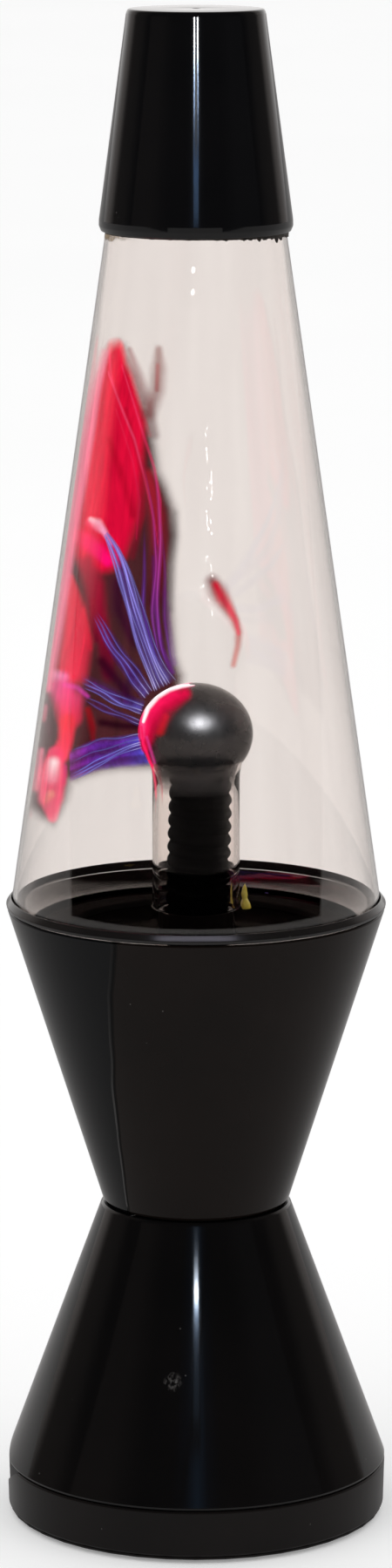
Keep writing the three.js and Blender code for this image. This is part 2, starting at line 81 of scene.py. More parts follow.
DASHES = [(-0.0882, 0.585, 0.1352, 0.00315), (-0.0994, 0.5735, 0.108, 0.0027), (0.2973, 0.5066, 0.0206, 0.0009), (0.2591, 0.5026, 0.0254, 0.00112), (0.278, 0.4956, 0.0367, 0.0018), (0.2868, 0.4916, 0.0149, 0.0063), (0.4042, 0.4823, 0.0146, 0.0099), (0.3571, 0.4797, 0.0193, 0.00135), (0.2762, 0.4753, 0.0255, 0.00135), (0.3832, 0.4713, 0.0205, 0.00135), (0.4092, 0.4757, 0.0127, 0.0054), (0.2582, 0.4634, 0.0217, 0.00135), (0.2666, 0.4594, 0.0154, 0.0054), (0.3626, 0.4594, 0.023, 0.0018), (0.3063, 0.455, 0.0304, 0.00135), (0.3897, 0.4537, 0.0303, 0.00135), (0.2448, 0.4387, 0.0147, 0.00315), (0.2762, 0.4401, 0.0147, 0.00225), (0.3547, 0.4357, 0.0175, 0.0036), (0.3823, 0.4321, 0.0217, 0.00135), (0.1088, 0.4238, 0.0214, 0.00135), (0.1684, 0.4247, 0.0143, 0.00135), (0.2837, 0.4185, 0.0169, 0.0018), (0.3576, 0.4124, 0.0139, 0.0027)]
KEY_POWER = 5.0
WORLD_PLAIN = 1.0
WORLD_STUDIO = [(-1.0, (0.003, 0.003, 0.003)), (-0.13, (0.003, 0.003, 0.003)), (0.16, (0.070, 0.062, 0.056)), (0.40, (0.075, 0.066, 0.060)), (0.62, (0.46, 0.42, 0.40)), (0.92, (1.0, 0.98, 0.97))]
WORLD_ROOM = [(-1.0, (0.0, 0.0, 0.0)), (-0.10, (0.0, 0.0, 0.0)), (0.30, (0.85, 0.80, 0.77)), (1.0, (0.95, 0.92, 0.90))]
GLOW_W, GLOW_HIGH, GLOW_LOW = 0.9, 0.35, 0.30
GLOW_RAMP = [(0.0, (0.0, 0.0, 0.0)), (0.30, (0.04, 0.09, 0.18)), (0.5, (0.25, 0.55, 1.0)), (0.70, (0.04, 0.09, 0.18)), (1.0, (0.0, 0.0, 0.0))]

rad = math.radians

# ------------------------------------------------------------------ sizes, from the frame
def mm_box(node):
    lo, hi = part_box(node)
    return [v * 1000 for v in lo], [v * 1000 for v in hi]


CAP_LO, CAP_HI = mm_box("cap")
GL_LO, GL_HI = mm_box("glass_vessel")
POST_LO, POST_HI = mm_box("glass_post")
BEZ_LO, BEZ_HI = mm_box("bezel_ring")
UC_LO, UC_HI = mm_box("upper_cone")
LC_LO, LC_HI = mm_box("lower_cone")
BAND_LO, BAND_HI = mm_box("base_band")
SEAT_LO, SEAT_HI = mm_box("glass_seat")
SLV_LO, SLV_HI = mm_box("ribbed_sleeve")
JACK_LO, JACK_HI = mm_box("dc_jack")

H = CAP_HI[2]                      # top of the cap
R_CAP0, R_CAP1 = CAP_HI[0], 15.4   # cap radii, bottom and top
Z_CAP = CAP_LO[2]
R_BAND = BAND_HI[0]
Z_B0, Z_B1 = BAND_LO[2], BAND_HI[2]
Z_L0, Z_L1 = 12.3, LC_HI[2]
R_L0, R_L1 = LC_HI[0], 21.8
Z_U0, Z_U1 = UC_LO[2], UC_HI[2]
R_U0, R_U1 = 21.4, UC_HI[0]
Z_G0, Z_G1, R_G0, R_G1 = 144.0, 330.0, 41.75, 15.1
Z_FOOT, Z_GTOP = GL_LO[2], GL_HI[2]
BALL_Z, BALL_R, BALL_H, STEM_R = 181.6, 12.9, 11.4, 9.9


def r_lower(z):
    return R_L0 + (z - Z_L0) * (R_L1 - R_L0) / (Z_L1 - Z_L0)


def r_upper(z):
    return R_U0 + (z - Z_U0) * (R_U1 - R_U0) / (Z_U1 - Z_U0)


def r_glass(z):
    return R_G0 + (z - Z_G0) * (R_G1 - R_G0) / (Z_G1 - Z_G0)


def r_band(z):
    return 43.3 + (z - Z_B0) * (R_BAND - 43.3) / (Z_B1 - Z_B0)


# ------------------------------------------------------------------ camera
CAM = Vector((0.0, -1.253, 0.4112))
cam_data = bpy.data.cameras.new("camera")
cam = bpy.data.objects.new("camera", cam_data)
scene.collection.objects.link(cam)
cam.location = CAM
cam.rotation_euler = (rad(90 - 10.9), 0, 0)
cam_data.lens = 129.5
cam_data.sensor_width = 36
cam_data.clip_end = 200
scene.camera = cam
scene.view_settings.view_transform = "Standard"
scene.view_settings.look = "None"
scene.cycles.transparent_max_bounces = 32


# ------------------------------------------------------------------ colours and nodes
def lin(r, g, b):
    out = []
    for v in (r, g, b):
        v /= 255
        out.append(v / 12.92 if v <= 0.04045 else ((v + 0.055) / 1.055) ** 2.4)
    return tuple(out)


class Nodes:
    """A small helper round a material's node tree."""

    def __init__(self, name):
        self.mat = bpy.data.materials.new(name)
        self.mat.use_nodes = True
        self.t = self.mat.node_tree
        self.p = self.t.nodes["Principled BSDF"]
        self.coord = self.new("ShaderNodeTexCoord").outputs["Object"]

    def new(self, kind, **values):
        n = self.t.nodes.new(kind)
        for k, v in values.items():
            setattr(n, k, v)
        return n

    def link(self, a, b):
        self.t.links.new(a, b)

    def set(self, **values):
        for k, v in values.items():
            self.p.inputs[k.replace("_", " ")].default_value = v
        return self

    def mapped(self, scale=(1, 1, 1), rot=(0, 0, 0)):
        m = self.new("ShaderNodeMapping")
        m.inputs["Scale"].default_value = scale
        m.inputs["Rotation"].default_value = rot
        self.link(self.coord, m.inputs["Vector"])
        return m.outputs[0]

    def noise(self, scale, detail=3, rough=0.5, vector=None, distortion=0):
        n = self.new("ShaderNodeTexNoise")
        n.inputs["Scale"].default_value = scale
        n.inputs["Detail"].default_value = detail
        n.inputs["Roughness"].default_value = rough
        n.inputs["Distortion"].default_value = distortion
        self.link(vector or self.coord, n.inputs["Vector"])
        return n.outputs["Fac"]

    def ramp(self, fac, stops, mode="LINEAR"):
        r = self.new("ShaderNodeValToRGB")
        r.color_ramp.interpolation = mode
        e = r.color_ramp.elements
        while len(e) > 1:
            e.remove(e[-1])
        for i, (pos, col) in enumerate(stops):
            mark = e[0] if i == 0 else e.new(pos)
            mark.position = pos
            mark.color = (*col, 1) if len(col) == 3 else col
        self.link(fac, r.inputs["Fac"])
        return r.outputs["Color"]

    def span(self, fac, a, b, x0=0.0, x1=1.0):
        m = self.new("ShaderNodeMapRange")
        m.inputs["From Min"].default_value = x0
        m.inputs["From Max"].default_value = x1
        m.inputs["To Min"].default_value = a
        m.inputs["To Max"].default_value = b
        self.link(fac, m.inputs["Value"])
        return m.outputs["Result"]

    def math(self, op, a, b=None):
        m = self.new("ShaderNodeMath", operation=op)
        for i, v in enumerate((a, b)):
            if v is None:
                continue
            if isinstance(v, (int, float)):
                m.inputs[i].default_value = v
            else:
                self.link(v, m.inputs[i])
        return m.outputs[0]

    def mix(self, fac, a, b, blend="MIX"):
        m = self.new("ShaderNodeMix", data_type="RGBA", blend_type=blend)
        for sock, v in ((m.inputs[0], fac), (m.inputs[6], a), (m.inputs[7], b)):
            if isinstance(v, (int, float)):
                sock.default_value = v
            elif isinstance(v, tuple):
                sock.default_value = (*v, 1)
            else:
                self.link(v, sock)
        return m.outputs[2]

    def bump(self, height, strength, distance=0.0005, normal=None):
        b = self.new("ShaderNodeBump")
        b.inputs["Strength"].default_value = strength
        b.inputs["Distance"].default_value = distance
        self.link(height, b.inputs["Height"])
        if normal is not None:
            self.link(normal, b.inputs["Normal"])
        return b.outputs["Normal"]

    def to(self, socket, out):
        self.link(out, self.p.inputs[socket])
        return self


def specks(n, scale, keep):
    """Sparse small dots, 1 in a dot and 0 elsewhere."""
    v = n.new("ShaderNodeTexVoronoi", feature="F1")
    v.inputs["Scale"].default_value = scale
    n.link(n.coord, v.inputs["Vector"])
    near = n.math("LESS_THAN", v.outputs["Distance"], 0.085)
    rare = n.math("GREATER_THAN", n.noise(scale * 0.31, 1), keep)
    return n.math("MULTIPLY", near, rare)


def black_plastic(name, base, rough, spec, wave=0.25, dust=0.66, warm=(1.0, 0.93, 0.9), coat=0.0):
    """Moulded black plastic: uneven gloss, faint orange peel, a few specks of dust."""
    n = Nodes(name)
    tone = n.noise(22, 4, 0.6)
    col = n.mix(n.span(tone, 0, 1, 0.35, 0.7), tuple(base), tuple(b * w * 1.5 for b, w in zip(base, warm)))
    dots = specks(n, 620, dust)
    n.to("Base Color", n.mix(n.math("MULTIPLY", dots, 0.35), col, (0.22, 0.21, 0.20)))
    smear = n.noise(9, 5, 0.65, n.mapped((1, 1, 0.35)))
    n.to("Roughness", n.math("ADD", n.span(smear, rough * 0.7, rough * 1.5, 0.3, 0.75), n.math("MULTIPLY", dots, 0.3)))
    n.to("Normal", n.bump(n.noise(70, 2), wave, 0.00004, n.bump(n.noise(1400, 2), 0.12, 0.00001)))
    n.set(Specular_IOR_Level=spec, Coat_Weight=coat, Coat_Roughness=0.03)
    return n


# ------------------------------------------------------------------ mesh building
def make(name, verts, faces, material, body=BODY, sharp=32, stage=False, slot=None):
    mesh = bpy.data.meshes.new(name)
    mesh.from_pydata([tuple(v) for v in verts], [], faces)
    mesh.validate()
    mesh.polygons.foreach_set("use_smooth", [True] * len(mesh.polygons))
    if sharp:
        mesh.set_sharp_from_angle(angle=rad(sharp))
    mesh.update()
    o = bpy.data.objects.new(name, mesh)
    scene.collection.objects.link(o)
    if material is not None:
        mesh.materials.append(material)
    if body and not stage:
        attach(o, body)
    return o


def fillet(points, steps=5):
    """(r, z) or (r, z, radius) corners, mm: each corner with a radius becomes an arc."""
    out = []
    n = len(points)
    for i, p in enumerate(points):
        radius = p[2] if len(p) > 2 else 0
        if not radius or i in (0, n - 1):
            out.append((p[0], p[1]))
            continue
        a, b, c = (Vector(points[k][:2]) for k in (i - 1, i, i + 1))
        u, v = (a - b), (c - b)
        half = u.angle(v) / 2
        cut = min(radius / math.tan(half), u.length * 0.49, v.length * 0.49)
        r = cut * math.tan(half)
        u.normalize(), v.normalize()
        centre = b + (u + v).normalized() * (r / math.sin(half))
        p0, p1 = b + u * cut, b + v * cut
        a0 = math.atan2(*(p0 - centre).yx)
        a1 = math.atan2(*(p1 - centre).yx)
        d = (a1 - a0 + math.pi) % (2 * math.pi) - math.pi
        for k in range(steps + 1):
            t = a0 + d * k / steps
            out.append((centre.x + r * math.cos(t), centre.y + r * math.sin(t)))
    return out


def lathe_data(profile, seg=224, closed=False, shift=None):
    """Vertices in metres and faces of a turned surface. shift(z) moves a level sideways."""
    verts, rings = [], []
    for r, z in profile:
        dx, dy = shift(z) if shift else (0, 0)
        if abs(r) < 1e-6:
            rings.append([len(verts)])
            verts.append((dx * MM, dy * MM, z * MM))
        else:
            start = len(verts)
            rings.append(list(range(start, start + seg)))
            for k in range(seg):
                a = 2 * math.pi * k / seg
                verts.append(((r * math.cos(a) + dx) * MM, (r * math.sin(a) + dy) * MM, z * MM))
    faces = []
    pairs = list(zip(rings, rings[1:])) + ([(rings[-1], rings[0])] if closed else [])
    for a, b in pairs:
        if len(a) == 1 and len(b) == 1:
            continue
        for k in range(seg):
            j = (k + 1) % seg
            if len(a) == 1:
                faces.append((a[0], b[j], b[k]))
            elif len(b) == 1:
                faces.append((a[k], a[j], b[0]))
            else:
                faces.append((a[k], a[j], b[j], b[k]))
    return verts, faces


def facing_out(mesh):
    """Turns every shell so that its faces look away from its material."""
    import bmesh
    bm = bmesh.new()
    bm.from_mesh(mesh)
    bmesh.ops.recalc_face_normals(bm, faces=bm.faces)
    bm.to_mesh(mesh)
    bm.free()


def lathe(name, profile, material, seg=224, closed=False, shift=None, **kw):
    v, f = lathe_data(profile, seg, closed, shift)
    o = make(name, v, f, material, **kw)
    facing_out(o.data)
    o.data.set_sharp_from_angle(angle=rad(kw.get("sharp", 32)))
    return o


def merged(*datas):
    verts, faces = [], []
    for v, f in datas:
        k = len(verts)
        verts += list(v)
        faces += [tuple(i + k for i in q) for q in f]
    return verts, faces


def boolean(o, cutter, op):
    m = o.modifiers.new("cut", "BOOLEAN")
    m.operation, m.object, m.solver = op, cutter, "EXACT"
    dg = bpy.context.evaluated_depsgraph_get()
    mesh = bpy.data.meshes.new_from_object(o.evaluated_get(dg))
    o.modifiers.clear()
    old = o.data
    o.data = mesh
    mesh.name = old.name
    mesh.polygons.foreach_set("use_smooth", [True] * len(mesh.polygons))
    mesh.set_sharp_from_angle(angle=rad(28))
    return o


def tool(verts, faces):
    mesh = bpy.data.meshes.new("tool")
    mesh.from_pydata([tuple(v) for v in verts], [], faces)
    facing_out(mesh)
    o = bpy.data.objects.new("tool", mesh)
    scene.collection.objects.link(o)
    return o


def drop(*objs):
    for o in objs:
        bpy.data.objects.remove(o, do_unlink=True)


def wall_matrix(phi):
    a = rad(phi)
    m = Matrix.Identity(4)
    m.col[0][:3] = (-math.sin(a), math.cos(a), 0)
    m.col[1][:3] = (math.cos(a), math.sin(a), 0)
    m.col[2][:3] = (0, 0, 1)
    return m


def box_data(x0, x1, y0, y1, z0, z1):
    v = [(x * MM, y * MM, z * MM) for x in (x0, x1) for y in (y0, y1) for z in (z0, z1)]
    return v, [(0, 1, 3, 2), (4, 6, 7, 5), (0, 4, 5, 1), (2, 3, 7, 6), (0, 2, 6, 4), (1, 5, 7, 3)]


def moved(data, m):
    return [m @ Vector(v) for v in data[0]], data[1]


# ------------------------------------------------------------------ materials
cap_black = black_plastic("cap_gloss", (0.0030, 0.0030, 0.0034), 0.055, 0.42, wave=0.22, dust=0.72)
lower_black = black_plastic("lower_gloss", (0.0030, 0.0028, 0.0029), 0.055, 0.42, wave=0.14, dust=0.70)
n = lower_black
spot = n.new("ShaderNodeVectorMath", operation="DISTANCE")
n.link(n.coord, spot.inputs[0])
spot.inputs[1].default_value = (-0.0052, -0.0335, 0.0395)
near = n.span(spot.outputs["Value"], 1, 0, 0.0002, 0.0024)
grain = n.span(n.noise(1500, 4, 0.7, n.mapped((1, 1, 0.6))), 0, 1, 0.48, 0.62)
scuff = n.math("MULTIPLY", n.math("MULTIPLY", near, grain), 0.55)
n.to("Base Color", n.mix(scuff, n.p.inputs["Base Color"].links[0].from_socket, (0.16, 0.15, 0.145)))
n.to("Roughness", n.math("ADD", n.p.inputs["Roughness"].links[0].from_socket, n.math("MULTIPLY", scuff, 0.5)))
band_black = black_plastic("band_satin", (0.0050, 0.0040, 0.0038), 0.30, 0.20, wave=0.2, dust=0.66)
bezel_black = black_plastic("bezel_satin", (0.006, 0.0055, 0.0055), 0.16, 0.5, wave=0.1)
seat_black = black_plastic("seat_gloss", (0.0022, 0.0019, 0.0018), 0.10, 0.02, wave=0.9, dust=0.6)
n = seat_black
sep = n.new("ShaderNodeSeparateXYZ")
n.link(n.coord, sep.inputs[0])
tilted = n.math("ADD", sep.outputs["Y"], n.math("MULTIPLY", sep.outputs["X"], 0.35))
n.to("Specular IOR Level", n.span(tilted, 0.0, 0.007, -0.018, 0.016))
panel_black = black_plastic("panel_matt", (0.0045, 0.0042, 0.0042), 0.5, 0.3, wave=0.3)

# upper cone: gloss black with a knit line, where two flows of plastic met in the mould
n = black_plastic("upper_gloss", (0.0052, 0.0039, 0.0034), 0.10, 0.15, wave=0.12, dust=0.69)
sep = n.new("ShaderNodeSeparateXYZ")
n.link(n.coord, sep.inputs[0])
ang = n.math("ARCTAN2", sep.outputs["Y"], sep.outputs["X"])
wob = n.math("MULTIPLY", n.math("SUBTRACT", n.noise(46, 2, 0.4, n.mapped((0.0, 0.0, 1.0))), 0.5), 0.11)
course = n.math("ADD", n.math("MULTIPLY", sep.outputs["Z"], 4.94), KNIT)
offs = n.math("ADD", n.math("SUBTRACT", ang, course), wob)
line = n.span(n.math("ABSOLUTE", offs), 1.0, 0.0, 0.004, 0.022)
old = n.p.inputs["Base Color"].links[0].from_socket
left = n.span(offs, 1, 0, -0.03, 0.02)
cool = n.mix(n.math("MULTIPLY", left, 0.9), old, (0.0036, 0.0040, 0.0045))
n.to("Base Color", n.mix(line, cool, (0.0004, 0.0004, 0.0005)))
n.to("Normal", n.bump(line, 1.0, 0.00022, n.p.inputs["Normal"].links[0].from_socket))
upper_black = n

# glass, with the warm grey of the real vessel and faint drawn bands
n = Nodes("vessel_glass")
bands = n.noise(150, 2, 0.5, n.mapped((1.0, 1.0, 0.02)))
n.to("Base Color", n.mix(n.span(bands, 0, 1, 0.35, 0.65), GLASS_A, GLASS_B))
n.to("Normal", n.bump(n.noise(120, 2, 0.5, n.mapped((1, 1, 0.06))), 0.10, 0.0001))
n.set(Transmission_Weight=1.0, Roughness=0.0, IOR=1.46, Specular_IOR_Level=0.5)
glass = n

# the flat end of the vessel, close over the dark seat
n = Nodes("vessel_floor")
n.to("Base Color", n.mix(n.span(n.noise(60, 3), 0, 1, 0.35, 0.65), (0.42, 0.38, 0.36), (0.56, 0.51, 0.48)))
n.to("Normal", n.bump(n.noise(45, 2, 0.4), 0.55, 0.0009))
n.set(Transmission_Weight=1.0, Roughness=0.02, IOR=1.003, Specular_IOR_Level=0.5)
glass_floor = n

# the upright wall of the post, which shows hardly any of the table in front
n = Nodes("post_glass")
n.to("Base Color", n.mix(n.span(n.noise(150, 2, 0.5, n.mapped((1.0, 1.0, 0.02))), 0, 1, 0.35, 0.65), GLASS_A, GLASS_B))
n.to("Normal", n.bump(n.noise(120, 2, 0.5, n.mapped((1, 1, 0.06))), 0.10, 0.0001))
n.set(Transmission_Weight=1.0, Roughness=0.0, IOR=1.46, Specular_IOR_Level=0.5, Specular_Tint=(0.10, 0.10, 0.10, 1))
post_glass = n

# smoky metal lining of the ball, thinning out towards its lower edge
n = Nodes("ball_lining")
cloud = n.noise(160, 4, 0.6)
n.to("Base Color", n.mix(n.span(cloud, 0, 1, 0.3, 0.7), (0.048, 0.044, 0.042), (0.080, 0.073, 0.070)))
n.to("Roughness", n.span(n.noise(240, 3), 0.24, 0.33, 0.3, 0.7))
sep = n.new("ShaderNodeSeparateXYZ")
n.link(n.coord, sep.inputs[0])
thin = n.span(sep.outputs["Z"], 0.0, 0.76, 0.1685, 0.1730)
n.to("Alpha", n.math("ADD", thin, n.span(sep.outputs["Z"], 0.0, 0.24, 0.1750, 0.1795)))
n.set(Metallic=0.85, Specular_IOR_Level=0.5)
lining_mat = n

# rubbery sleeve with dusty rib crests, and a painted highlight: a lighter ring on the lip of its mouth
n = Nodes("sleeve_rubber")
dusty = n.noise(500, 4, 0.7)
n.to("Base Color", n.mix(n.span(dusty, 0, 1, 0.5, 0.85), (0.0002, 0.0002, 0.0002), (0.0016, 0.0015, 0.0013)))
sep = n.new("ShaderNodeSeparateXYZ")
n.link(n.coord, sep.inputs[0])
# painted highlight: the lip at the top of the sleeve is coloured light grey
lip_highlight = n.span(sep.outputs["Z"], 0.0, 1.0, 0.17335, 0.1736)
n.to("Base Color", n.mix(lip_highlight, n.p.inputs["Base Color"].links[0].from_socket, (0.17, 0.16, 0.15)))
n.to("Roughness", n.span(dusty, 0.30, 0.55))
n.to("Normal", n.bump(n.noise(900, 3), 0.25, 0.00005))
n.set(Specular_IOR_Level=0.0)
sleeve_mat = n

n = Nodes("glue_black")
n.to("Base Color", n.ramp(n.noise(700, 4, 0.7), [(0.35, (0.004, 0.0035, 0.003)), (0.75, (0.035, 0.022, 0.012))]))
n.to("Roughness", n.span(n.noise(500, 3), 0.3, 0.8))
n.to("Normal", n.bump(n.noise(800, 4, 0.7), 0.8, 0.0002))
glue_mat = n

n = Nodes("glue_amber")
n.to("Base Color", n.ramp(n.noise(450, 4, 0.7), [(0.3, (0.05, 0.03, 0.015)), (0.5, (0.28, 0.19, 0.10)), (0.75, (0.50, 0.38, 0.22))]))
n.to("Roughness", n.span(n.noise(300, 3), 0.25, 0.7))
at = n.new("ShaderNodeAttribute", attribute_name="Col")
n.to("Alpha", n.math("MULTIPLY", at.outputs["Alpha"], n.span(n.noise(600, 4, 0.7), 0.25, 1.0, 0.30, 0.55)))
amber_mat = n


def simple(name, a, b, rough=(0.3, 0.5), metal=0.0, scale=300, bump=0.2, stretch=(1, 1, 1), spec=0.5):
    n = Nodes(name)
    t = n.noise(scale, 4, 0.6, n.mapped(stretch))
    n.to("Base Color", n.mix(n.span(t, 0, 1, 0.3, 0.7), a, b))
    n.to("Roughness", n.span(n.noise(scale * 1.7, 3), rough[0], rough[1], 0.3, 0.7))
    n.to("Normal", n.bump(t, bump, 0.00005))
    n.set(Metallic=metal, Specular_IOR_Level=spec)
    return n


steel_mat = simple("steel_plated", (0.50, 0.50, 0.51), (0.66, 0.66, 0.66), (0.22, 0.4), 1.0, 500)
alu_mat = simple("aluminium_drawn", (0.60, 0.61, 0.62), (0.75, 0.75, 0.76), (0.25, 0.4), 1.0, 300, 0.2, (1, 1, 0.05))
brass_mat = simple("brass_pin", (0.60, 0.45, 0.18), (0.75, 0.58, 0.27), (0.15, 0.3), 1.0)
board_mat = simple("board_fibre", (0.010, 0.090, 0.035), (0.016, 0.13, 0.055), (0.3, 0.5), 0.0, 900)
ferrite_mat = simple("ferrite", (0.022, 0.022, 0.024), (0.040, 0.040, 0.043), (0.5, 0.8), 0.1, 800, 0.4)
tape_mat = simple("yellow_tape", (0.52, 0.42, 0.015), (0.72, 0.58, 0.03), (0.2, 0.4), 0.0, 260, 0.3)
blue_mat = simple("blue_sleeve", (0.010, 0.022, 0.085), (0.016, 0.035, 0.12), (0.25, 0.4))
red_mat = simple("red_insulation", (0.28, 0.010, 0.010), (0.40, 0.018, 0.016), (0.35, 0.5))
rubber_mat = simple("rubber_feet", (0.008, 0.008, 0.008), (0.018, 0.018, 0.017), (0.6, 0.85), 0.0, 900, 0.5, spec=0.3)
wool_mat = simple("steel_wool", (0.20, 0.20, 0.20), (0.5, 0.5, 0.5), (0.3, 0.5), 1.0, 2500, 1.0)
# painted glint: the exhaust tip's nub is coloured solid yellow under a clear coat
tip_glint_mat = simple("tip_yellow_glint", (0.62, 0.46, 0.02), (0.92, 0.80, 0.18), (0.12, 0.25), 0.0, 600, 0.5)
tip_glint_mat.set(Coat_Weight=0.6, Coat_Roughness=0.04)

for slot, m in {"gloss_black": lower_black, "satin_black": band_black, "matte_black": panel_black,
                "rubber_black": rubber_mat, "clear_glass": glass, "smoky_coating": lining_mat,
                "sealant_black": glue_mat, "steel": steel_mat, "aluminium": alu_mat, "brass": brass_mat,
                "insulation_yellow": tape_mat, "board_green": board_mat, "ferrite_grey": ferrite_mat,
                "sleeve_blue": blue_mat, "insulation_red": red_mat}.items():
    for sub in frame["record"]["subparts"]:
        if sub["material_slot"] == slot:
            data = frame["nodes"][sub["node"]].data
            if data.materials:
                data.materials[0] = m.mat
            else:
                data.materials.append(m.mat)
wool = frame["nodes"]["contact_wool"].data
wool.materials[0] = wool_mat.mat

# ------------------------------------------------------------------ cap
def cone_at(z, r0, z0, r1, z1):
    return r0 + (r1 - r0) * (z - z0) / (z1 - z0)


prof = fillet([(0, H - 0.75), (0.55, H - 0.75, 0.2), (0.85, H, 0.15), (R_CAP1 - 0.3, H, 0.7),
               (R_CAP1 + 0.05, H - 1.0, 0.5), (R_CAP0 - 0.05, Z_CAP + 2.6, 0.8), (R_CAP0 - 0.02, Z_CAP + 1.3, 0.8),
               (R_CAP0 - 0.55, Z_CAP, 0.45), (R_CAP0 - 0.95, Z_CAP + 0.3, 0.2), (R_CAP1 - 0.5, H - 2.4), (0, H - 2.4)], 6)
cap = lathe("cap_shell", prof, cap_black.mat, slot="gloss_black")
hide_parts("cap")

# torn edge of the black sealant: it hangs lowest at the right, and comes and goes
seg = 420
verts, faces = [], []
for k in range(seg):
    a = 2 * math.pi * k / seg
    side = math.exp(-((((a - rad(338) + math.pi) % (2 * math.pi)) - math.pi) / 0.62) ** 2)
    rough = (0.5 + 0.5 * math.sin(a * 23 + 1.3 * math.sin(a * 7))) * (0.5 + 0.5 * math.sin(a * 61 + 2))
    rough += 0.35 * (0.5 + 0.5 * math.sin(a * 143 + 3 * math.sin(a * 19)))
    low = Z_CAP - 0.22 - side * (0.25 + 0.95 * rough) - 0.07 * rough ** 2
    for j, (z, dr) in enumerate(((Z_CAP + 6, 0.05), (Z_CAP + 6, 0.5), (Z_CAP + 0.9, 0.52), (low + 0.12, 0.42), (low, 0.22), (low + 0.05, 0.05))):
        r = r_glass(z) + dr
        verts.append((r * math.cos(a) * MM, r * math.sin(a) * MM, z * MM))
for k in range(seg):
    for j in range(6):
        a0, a1 = k * 6, ((k + 1) % seg) * 6
        faces.append((a0 + j, a0 + (j + 1) % 6, a1 + (j + 1) % 6, a1 + j))
glue = make("cap_glue_edge", verts, faces, glue_mat.mat, slot="sealant_black")
facing_out(glue.data)
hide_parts("cap_sealant")

# ------------------------------------------------------------------ glass body: vessel and post in one
W = 0.95
outer = [(0, Z_GTOP)]
for i in range(1, 13):
    a = rad(90 - 82 * i / 12)
    outer.append((R_G1 - 7.5 + 7.4 * math.cos(a) * 1.0, Z_G1 + 0.4 + 7.6 * math.sin(a)))
for i in range(1, 13):
    z = Z_G1 + (Z_G0 + 1.0 - Z_G1) * i / 12
    if i == 12:
        outer.append((r_glass(z + 1.0), z + 1.0))
    outer.append((r_glass(z), z))
for i in range(0, 11):
    a = rad(-8 - 82 * i / 10)
    outer.append((R_G0 - 6.5 + 6.5 * math.cos(a), Z_G0 + 6.5 * math.sin(a)))
outer += [(20, Z_FOOT), (12.2, Z_FOOT), (10.9, Z_FOOT + 0.4), (9.6, Z_FOOT + 1.9), (8.85, Z_FOOT + 4.2), (8.7, Z_FOOT + 7)]
for z in (150, 160, 168):
    outer.append((8.7, z))
for a_deg in range(-44, 91, 6):
    a = rad(a_deg)
    r, z = (BALL_R - 1.2) * math.cos(a), BALL_Z + (BALL_H - 1.2) * math.sin(a)
    if a_deg <= -38:
        continue
    outer.append((max(r, 0) if a_deg < 90 else 0, z))
if outer[-1][0] != 0:
    outer.append((0, BALL_Z + BALL_H - 1.2))
inner = [(0, BALL_Z + BALL_H)]
for a_deg in range(84, -40, -5):
    a = rad(a_deg)
    inner.append((BALL_R * math.cos(a), BALL_Z + BALL_H * math.sin(a)))
inner += [(9.97, 172.6), (STEM_R, 170.8), (STEM_R, 160), (STEM_R, 150), (STEM_R, Z_FOOT + 6.5), (10.2, Z_FOOT + 4.2),
          (11.0, Z_FOOT + 2.6), (12.4, Z_FOOT + 1.6), (14.5, Z_FOOT + W), (25, Z_FOOT + W)]
for i in range(10, -1, -1):
    a = rad(-8 - 82 * i / 10)
    inner.append((R_G0 - 6.5 + (6.5 - W) * math.cos(a), Z_G0 + (6.5 - W) * math.sin(a)))
for z in (Z_G0 + 1.0, Z_G0 + 2.0):
    inner.append((r_glass(z) - W, z))
for i in range(11, -1, -1):
    z = Z_G1 + (Z_G0 + 1.0 - Z_G1) * i / 12
    inner.append((r_glass(z) - W, z))
for i in range(11, 0, -1):
    a = rad(90 - 82 * i / 12)
    inner.append((R_G1 - 7.5 + (7.4 - W) * math.cos(a), Z_G1 + 0.4 + (7.6 - W) * math.sin(a)))
inner.append((0, Z_GTOP - W))


def ripple(z):
    # blown glass is never quite round or straight
    return 0.06 * math.sin(z * 0.043 + 0.4), 0.05 * math.sin(z * 0.037)


va, fa = lathe_data(outer, 224)
vb, fb = lathe_data(inner, 224)
v, f = merged((va, fa), (vb, fb))
vessel = make("glass_body", v, f, glass.mat, slot="clear_glass", sharp=60)
# air-side shell faces the air, vacuum-side shell faces the vacuum
mesh = vessel.data
flip = []
co = np.array([tuple(x) for x in v])
for p in mesh.polygons:
    idx = p.vertices[0]
    c, nrm = p.center, p.normal
    on_air = idx < len(va)
    i = idx if on_air else idx - len(va)
    z, rr = c.z * 1000, math.hypot(c.x, c.y) * 1000
    out_dir = Vector((c.x, c.y, 0)).normalized() if rr > 0.05 else Vector((0, 0, 1))
    if rr < 0.05 + 12.6 and z > POST_HI[2] - 13 and z < POST_HI[2] + 1 or (rr < 13.6 and z < POST_HI[2] + 1 and z > Z_FOOT + 3):
        # the post: air inside, vacuum outside
        up = Vector((c.x, c.y, max(c.z - BALL_Z * MM, 0) if z > BALL_Z - 8 else 0))
        want = -up if on_air else up
        want = want if want.length > 1e-7 else Vector((0, 0, -1 if on_air else 1))
    elif z < Z_FOOT + 3.2 and rr < 36:
        want = Vector((0, 0, -1)) if on_air else Vector((0, 0, 1))
    elif z < Z_G0 + 1:
        d = Vector((c.x, c.y, c.z)) - Vector((out_dir.x * 35.25 * MM, out_dir.y * 35.25 * MM, Z_G0 * MM))
        want = d if on_air else -d
    elif z > Z_G1:
        d = Vector((c.x, c.y, c.z - Z_G1 * MM))
        want = d if on_air else -d
    else:
        want = out_dir if on_air else -out_dir
    flip.append(nrm.dot(want) < 0)
import bmesh
bm = bmesh.new()
bm.from_mesh(mesh)
bm.faces.ensure_lookup_table()
bmesh.ops.reverse_faces(bm, faces=[bm.faces[i] for i, k in enumerate(flip) if k])
bm.to_mesh(mesh)
bm.free()
vessel.data.materials.append(glass_floor.mat)
vessel.data.materials.append(post_glass.mat)
